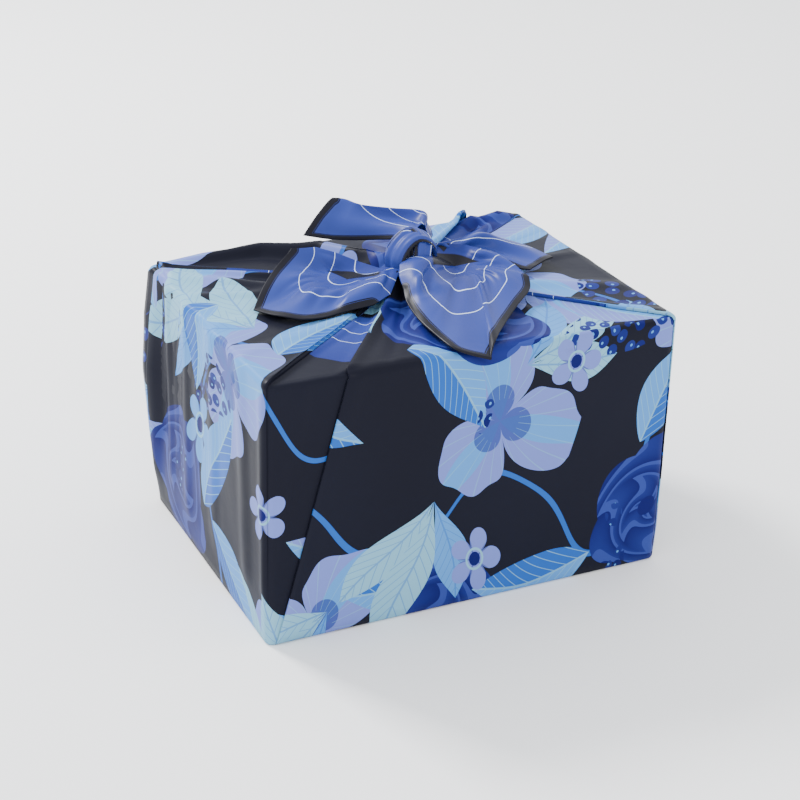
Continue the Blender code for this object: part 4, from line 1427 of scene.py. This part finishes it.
@dataclass(frozen=True)
class PrintedCloth:
    """Satin cloth with a printed garden of leaves and blossoms and a lined border, in metres."""

    name: str
    edges: EdgeSource
    palette: Palette = Palette()
    roughness: float = 0.36
    gloss: float = 0.1
    # width of the blue border wash, across which it darkens inwards as painted shade
    wash_and_shade: float = 0.075
    line_places: tuple[float, ...] = (0.0165, 0.031, 0.0455)
    line_half: float = 0.00025
    round_border: float = 0.06
    hem_shade: tuple[float, float] = (0.005, 0.0004)
    past_edge: float = -0.0005
    sway_scale: float = 9.0
    sway_reach: float = 0.05
    ground_scale: float = 5.0
    wrinkles: tuple[tuple[float, float, float], ...] = (
        (46.0, 2.0, 0.0006), (700.0, 1.0, 0.00004), (19.0, 1.0, 0.0016),
    )
    bump_strength: float = 0.5

    def cell(self, g: Graph, place: Wire, net: Net) -> Cell:
        """Patches that each hold one motif, turned by chance.

        Args:
            g: Graph to build in.
            place: Place on the cloth.
            net: The net of patches.

        Returns:
            The local place and two chance numbers.
        """
        turned = g.node("ShaderNodeMapping", {}, {
            "Vector": place, "Location": (net.slide, SLIDE_SLANT * net.slide, 0.0),
            "Rotation": (0.0, 0.0, net.turn),
        })
        spot = Wire(g, turned.outputs[0])
        cells = g.node(
            "ShaderNodeTexVoronoi", {"voronoi_dimensions": "2D"},
            {"Vector": spot, "Scale": 1 / net.spacing, "Randomness": net.jitter},
        )
        away = g.node("ShaderNodeVectorMath", {"operation": "SUBTRACT"},
                      {0: spot, 1: Wire(g, cells.outputs["Position"])})
        local = g.node("ShaderNodeSeparateXYZ", {}, {0: Wire(g, away.outputs[0])})
        chance = g.node("ShaderNodeSeparateColor", {}, {0: Wire(g, cells.outputs["Color"])})
        x, y = Wire(g, local.outputs[0]), Wire(g, local.outputs[1])
        angle = Wire(g, chance.outputs[0]) * (2 * math.pi)
        cosine, sine = g.maths("COSINE", angle), g.maths("SINE", angle)
        return Cell(x * cosine + y * sine, y * cosine - x * sine,
                    Wire(g, chance.outputs[1]), Wire(g, chance.outputs[2]))

    def leaf(self, g: Graph, x: Wire, y: Wire, shape: LeafShape) -> tuple[Wire, Wire]:
        """Leaf from x = 0 to its length.

        Args:
            g: Graph to build in.
            x: Place along the leaf.
            y: Place across the leaf.
            shape: Sizes of the leaf.

        Returns:
            The leaf's mask and the mask of its lines.
        """
        along = g.maths("MINIMUM", g.maths("MAXIMUM", x / shape.length, 0.0), 1.0)
        swell = g.maths("SINE", (along ** shape.tip) * math.pi) * shape.half_width
        inside = abs(y) < swell
        rib = abs(y) < shape.half_rib
        slanted = (x - abs(y) * shape.vein_slope) / shape.vein_spacing
        veins = g.maths("FRACT", slanted) < shape.vein_share
        return inside, g.maths("MAXIMUM", rib, veins) * inside

    def leaves(self, g: Graph, below: Wire, place: Wire, net: Net) -> Wire:
        """Single two-tone leaves, some with a lilac half."""
        p = self.palette
        lilac_from, line_share = 0.62, 0.75
        cell = self.cell(g, place, net)
        inside, lines = self.leaf(g, cell.x + LEAF.length / 2, cell.y, LEAF)
        tone = g.blend(cell.y > 0.0, linear(p.sky), linear(p.corn))
        tone = g.blend((cell.other > lilac_from) * (cell.y > 0.0), tone, linear(p.lilac))
        tone = g.blend(lines * line_share, tone, linear(p.aqua))
        return g.blend(inside * (cell.pick < net.share), below, tone)

    def sprigs(self, g: Graph, below: Wire, place: Wire, net: Net) -> Wire:
        """Fans of three long petals."""
        p = self.palette
        foot, line_share = 0.056, 0.5
        cell = self.cell(g, place, net)
        shown = cell.pick < net.share
        colour = below
        base_x = cell.x + foot
        for degrees, tone, shape in SPRIG_PETALS:
            cosine, sine = math.cos(math.radians(degrees)), math.sin(math.radians(degrees))
            x = base_x * cosine + cell.y * sine
            y = cell.y * cosine - base_x * sine
            inside, lines = self.leaf(g, x, y, shape)
            tone_here = g.blend(lines * line_share, linear(getattr(p, tone)), linear(p.corn))
            colour = g.blend(inside * shown, colour, tone_here)
        return colour

    def petals(self, g: Graph, below: Wire, place: Wire) -> Wire:
        """Broad pale blossoms of three ruffled petals, under the rest."""
        p = self.palette
        reach, heart, ruffle_height, fan_fall = 0.05, 0.014, 0.0022, 9.0
        eye_reach, eye, vein_from, vein_share = 0.022, 0.004, 0.016, 0.07
        cell = self.cell(g, place, PETAL_NET)
        radius, angle = cell.polar(g)
        open_up = abs(g.maths("COSINE", angle * 1.5)) ** 0.5
        ruffle = g.maths("SINE", angle * 11.0 + radius * 60.0) * ruffle_height
        inside = (radius < open_up * reach + ruffle + heart) * (cell.pick < PETAL_NET.share)
        fan = abs(g.maths("SINE", angle * 1.5))
        tone = g.blend((fan + radius * fan_fall) < 0.75, linear(p.lilac), linear(p.sky))
        tone = g.blend((radius < open_up * eye_reach + eye) * 0.85, tone, linear(p.peri))
        veins = g.maths("FRACT", angle * 4.0) < vein_share
        tone = g.blend(veins * (radius > vein_from) * 0.45, tone, linear(p.aqua))
        return g.blend(inside, below, tone)

    def blooms(self, g: Graph, below: Wire, place: Wire) -> Wire:
        """Large full blooms of nested petals."""
        p = self.palette
        reach, scallop, rings, curl, eye = 0.047, 0.008, 62.0, 90.0, 0.008
        cell = self.cell(g, place, BLOOM_NET)
        radius, angle = cell.polar(g)
        rim = reach + abs(g.maths("COSINE", angle * 2.5)) * scallop
        inside = (radius < rim) * (cell.pick < BLOOM_NET.share)
        ring = radius * rings + abs(g.maths("COSINE", angle * 1.5 + radius * curl)) * 0.9
        part = g.maths("FRACT", ring)
        tone = g.blend(part, linear(p.navy), linear(p.royal))
        tone = g.blend((part > 0.72) * 0.8, tone, linear(p.peri))
        tone = g.blend(radius < eye, tone, linear(p.navy))
        return g.blend(inside, below, tone)

    def blossoms(self, g: Graph, below: Wire, place: Wire) -> Wire:
        """Small five-petal blossoms."""
        p = self.palette
        reach, heart, eye, ring, ring_half = 0.016, 0.008, 0.0052, 0.0075, 0.0009
        cell = self.cell(g, place, BLOSSOM_NET)
        radius, angle = cell.polar(g)
        petal = abs(g.maths("COSINE", angle * 2.5))
        inside = (radius < (petal ** 0.6) * reach + heart) * (cell.pick < BLOSSOM_NET.share)
        tone = g.blend(cell.other > 0.5, linear(p.lilac), linear(p.sky))
        tone = g.blend((petal < 0.3) * 0.6, tone, linear(p.royal))
        tone = g.blend(radius < eye, tone, linear(p.navy))
        tone = g.blend(abs(radius - ring) < ring_half, tone, linear(p.aqua))
        return g.blend(inside, below, tone)

    def berries(self, g: Graph, below: Wire, place: Wire) -> Wire:
        """Clusters of round berries, each with a glint."""
        p = self.palette
        size, glint_off, glint_size = 0.0048, 0.0015, 0.0011
        cluster_scale, cluster_from = 9.0, 0.62
        cell = self.cell(g, place, BERRY_NET)
        radius, _ = cell.polar(g)
        patch = g.noise(place, cluster_scale) > cluster_from
        tone = g.blend(cell.pick, linear(p.navy), linear(p.royal))
        off = cell.x - glint_off
        glint = g.maths("SQRT", off * off + cell.y * cell.y) < glint_size
        tone = g.blend(glint, tone, linear(p.sky))
        return g.blend((radius < size) * patch, below, tone)

    def stems(self, g: Graph, below: Wire, place: Wire) -> Wire:
        """Thin wandering stems."""
        scale, half_share = 6.5, 0.006
        stem = abs(g.noise(place, scale, 0.0) - 0.5) < half_share
        return g.blend(stem, below, linear(self.palette.corn))

    def border(self, g: Graph, below: Wire, near: Wire, far: Wire) -> Wire:
        """Blue wash, pale lines and dark hem along the cloth's edges; the wash darkens from periwinkle at
        the edge to royal further in, which is painted shade.
        """
        p = self.palette
        least = g.maths("MINIMUM", near, far)
        inner = self.round_border
        cut_near = g.maths("MAXIMUM", inner - near, 0.0)
        cut_far = g.maths("MAXIMUM", inner - far, 0.0)
        rounded = inner - g.maths("SQRT", cut_near * cut_near + cut_far * cut_far)
        # painted shade: the blue wash darkens from periwinkle at the edge to royal further from it,
        # standing in for the shade deeper in the folds
        painted_shade_inwards = g.maths("MINIMUM", g.maths("MAXIMUM", least / self.wash_and_shade, 0.0), 1.0)
        wash_and_shade = g.blend(painted_shade_inwards, linear(p.peri), linear(p.royal))
        on_cloth = least > self.past_edge
        colour = g.blend((least < self.wash_and_shade) * on_cloth, below, wash_and_shade)
        for place in self.line_places:
            colour = g.blend(abs(rounded - place) < self.line_half, colour, linear(p.line))
        colour = g.blend((least < SIZES.hem * MM) * on_cloth, colour, linear(p.hem))
        shade_at, shade_half = self.hem_shade
        return g.blend(abs(least - shade_at) < shade_half, colour, linear(p.ground))

    def weave(self, g: Graph, place: Wire) -> Wire:
        """Fine wrinkles and weave as a bump."""
        height = sum(g.noise(place, scale, detail) * size for scale, detail, size in self.wrinkles)
        bump = g.node("ShaderNodeBump", {}, {
            "Strength": self.bump_strength, "Distance": 1.0, "Height": height,
        })
        return Wire(g, bump.outputs[0])

    def garden(self, g: Graph, place: Wire) -> Wire:
        """The printed garden on its dark ground, a little swayed.

        Args:
            g: Graph to build in.
            place: Place on the cloth.

        Returns:
            The colour.
        """
        p = self.palette
        sway = g.node("ShaderNodeTexNoise", {},
                      {"Vector": place, "Scale": self.sway_scale, "Detail": 0.0})
        reach = (self.sway_reach, self.sway_reach, 0.0)
        drift = g.node("ShaderNodeVectorMath", {"operation": "MULTIPLY_ADD"},
                       {0: Wire(g, sway.outputs[1]), 1: reach, 2: place})
        spot = Wire(g, drift.outputs[0])
        colour = g.blend(g.noise(place, self.ground_scale), linear(p.ground), linear(p.slate))
        colour = self.petals(g, self.stems(g, colour, spot), spot)
        colour = self.sprigs(g, colour, spot, SPRIG_NETS[0])
        colour = self.leaves(g, colour, spot, LEAF_NETS[0])
        colour = self.blooms(g, colour, spot)
        colour = self.sprigs(g, colour, spot, SPRIG_NETS[1])
        colour = self.berries(g, colour, spot)
        colour = self.leaves(g, colour, spot, LEAF_NETS[1])
        return self.blossoms(g, colour, spot)

    def material(self) -> bpy.types.Material:
        """Build the material.

        Returns:
            The material.
        """
        g = Graph(self.name)
        p = self.palette
        place, u, v = g.coordinates("flat")
        if self.edges is EdgeSource.FLAT:
            big = g.maths("MAXIMUM", abs(u), abs(v))
            small = g.maths("MINIMUM", abs(u), abs(v))
            reach = SIZES.reach * MM
            near = (reach - big - small) / math.sqrt(2)
            far = (reach - big + small) / math.sqrt(2)
            colour = self.border(g, self.garden(g, place), near, far)
        else:
            deep = g.node("ShaderNodeAttribute", {"attribute_name": "hollow"}, {})
            plain = g.blend(0.5, linear(p.ground), linear(p.slate))
            colour = self.border(g, plain, u, v)
            colour = g.blend(Wire(g, deep.outputs["Fac"]), colour, linear(p.ground))
        g.feed(g.shader.inputs["Base Color"], colour)
        g.feed(g.shader.inputs["Normal"], self.weave(g, place))
        g.shader.inputs["Roughness"].default_value = self.roughness
        g.shader.inputs["Specular IOR Level"].default_value = self.gloss
        return g.material


@dataclass(frozen=True)
class Cardboard:
    """Plain brown board of the carton."""

    name: str = "carton board"
    dark: tuple[int, int, int] = (150, 118, 80)
    light: tuple[int, int, int] = (178, 146, 104)
    fibre_scale: float = 240.0
    roughness: float = 0.85

    def material(self) -> bpy.types.Material:
        """Build the material.

        Returns:
            The material.
        """
        g = Graph(self.name)
        place = Wire(g, g.node("ShaderNodeTexCoord", {}, {}).outputs["Object"])
        fibre = g.noise(place, self.fibre_scale, 3.0)
        g.feed(g.shader.inputs["Base Color"], g.blend(fibre, linear(self.dark), linear(self.light)))
        g.shader.inputs["Roughness"].default_value = self.roughness
        return g.material


def dress(piece: bpy.types.Object, material: bpy.types.Material) -> None:
    """Give a piece one material."""
    piece.data.materials.clear()
    piece.data.materials.append(material)


@dataclass
class Wrapping:
    """The whole cloth: body, four tails and the knot."""

    body_flat_area: float = 0.71

    def build(self) -> list[bpy.types.Object]:
        """Returns:
            The pieces.
        """
        body_cloth = PrintedCloth("printed cloth", EdgeSource.FLAT, gloss=0.045).material()
        tail_cloth = PrintedCloth("tail cloth", EdgeSource.HEMS, wash_and_shade=0.065).material()
        body = ClothBody().build()
        dress(body, body_cloth)
        left = CupTail(
            "tail_left", LEFT_TAIL, LEFT_TAIL_HOLLOW, tip=6, hem_start=1, hem_end=9,
            dark=(9.4, 14.5), creases=LEFT_CREASES,
        ).build()
        front = CupTail(
            "tail_front", FRONT_TAIL, FRONT_TAIL_HOLLOW, tip=7, hem_start=2, hem_end=12,
            dark=(13.6, 18.8), creases=FRONT_CREASES,
        ).build()
        right = SheetTail(
            "tail_right", RIGHT_TAIL, hemmed=-1, creases=RIGHT_CREASES, side_stretch=1.25,
        ).build()
        back = SheetTail(
            "tail_back", BACK_TAIL, hemmed=0, creases=BACK_CREASES, side_stretch=1.6,
        ).build()
        hoop = KnotBand("knot_hoop", KNOT_BAND, half_width=9.4, half_thickness=2.9).build()
        under = KnotBand("knot_under", KNOT_UNDER_BAND, half_width=7.4, half_thickness=2.6).build()
        heart = KnotCore().build()
        pieces = [body, left, front, right, back, hoop, under, heart]
        for piece in pieces[1:]:
            dress(piece, tail_cloth)
        for piece in pieces:
            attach(piece, "root")
            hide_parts("wrap")
            area = sum(face.area for face in piece.data.polygons) / 2
            LOG.info("%s has %d faces and %.4f m2 of cloth", piece.name, len(piece.data.polygons), area)
        return pieces


@dataclass(frozen=True)
class Lamp:
    """A square soft light: where it stands, its side in metres and its power in watts."""

    name: str
    place: tuple[float, float, float]
    size: float
    power: float


LAMPS = (
    Lamp("key", (-0.9, 1.7, 1.8), 0.55, 100.0),
    Lamp("side", (-2.1, 0.3, 1.2), 0.8, 5.0),
    Lamp("fill", (-0.3, -2.1, 1.5), 0.8, 12.0),
)


@dataclass
class Studio:
    """Pale floor, soft lights and the camera."""

    camera_place: tuple[float, float, float] = (-0.525, -1.0758, 0.6735)
    yaw: float = 25.86
    pitch: float = 25.44
    roll: float = 1.55
    lens: float = 83.66
    sensor: float = 36.0
    floor_side: float = 30.0
    floor_colour: tuple[int, int, int] = (246, 246, 247)
    floor_roughness: float = 0.9
    floor_gloss: float = 0.1
    sky: tuple[float, float, float, float] = (0.96, 0.98, 1.0, 1.0)
    sky_strength: float = 1.95
    lamp_aim: tuple[float, float, float] = (0.0, 0.0, 0.1)

    def floor(self) -> bpy.types.Object:
        """Make the floor."""
        bpy.ops.object.select_all(action="DESELECT")
        bpy.ops.mesh.primitive_plane_add(size=self.floor_side, location=(0.0, 0.0, 0.0))
        floor = bpy.context.object
        floor.name = "floor"
        g = Graph("studio floor")
        g.shader.inputs["Base Color"].default_value = linear(self.floor_colour)
        g.shader.inputs["Roughness"].default_value = self.floor_roughness
        g.shader.inputs["Specular IOR Level"].default_value = self.floor_gloss
        dress(floor, g.material)
        return floor

    def light(self, lamp: Lamp) -> bpy.types.Object:
        """Make one light, aimed at the box.

        Args:
            lamp: Sizes of the light.

        Returns:
            The light.
        """
        bpy.ops.object.light_add(type="AREA", location=lamp.place)
        light = bpy.context.object
        light.name = lamp.name
        light.data.shape = "SQUARE"
        light.data.size = lamp.size
        light.data.energy = lamp.power
        aim = Vector(self.lamp_aim) - Vector(lamp.place)
        light.rotation_euler = aim.to_track_quat("-Z", "Y").to_euler()
        return light

    def camera(self) -> bpy.types.Object:
        """Make the camera at the photograph's angle."""
        yaw, pitch, roll = (math.radians(a) for a in (self.yaw, self.pitch, self.roll))
        level_share = math.cos(pitch)
        forward = Vector((math.sin(yaw) * level_share, math.cos(yaw) * level_share, -math.sin(pitch)))
        right = Vector((math.cos(yaw), -math.sin(yaw), 0.0))
        up = right.cross(forward)
        level = right * math.cos(roll) + up * math.sin(roll)
        upright = up * math.cos(roll) - right * math.sin(roll)
        data = bpy.data.cameras.new("camera")
        data.lens, data.sensor_width = self.lens, self.sensor
        camera = bpy.data.objects.new("camera", data)
        bpy.context.collection.objects.link(camera)
        turn = Matrix((level, upright, -forward)).transposed()
        camera.matrix_world = Matrix.Translation(self.camera_place) @ turn.to_4x4()
        bpy.context.scene.camera = camera
        return camera

    def build(self) -> None:
        """Set up the studio."""
        world = bpy.data.worlds.new("studio")
        world.use_nodes = True
        background = world.node_tree.nodes["Background"]
        background.inputs["Color"].default_value = self.sky
        background.inputs["Strength"].default_value = self.sky_strength
        bpy.context.scene.world = world
        self.floor()
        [self.light(lamp) for lamp in LAMPS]
        self.camera()


def main() -> None:
    """Build the wrap, the carton's finish and the studio."""
    for piece in Wrapping().build():
        LOG.info("built %s", piece.name)
    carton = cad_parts["box"]
    dress(carton, Cardboard().material())
    LOG.info("dressed %s", carton.name)
    Studio().build()


if __name__ == "__main__":
    logging.basicConfig(level=logging.INFO)
    main()
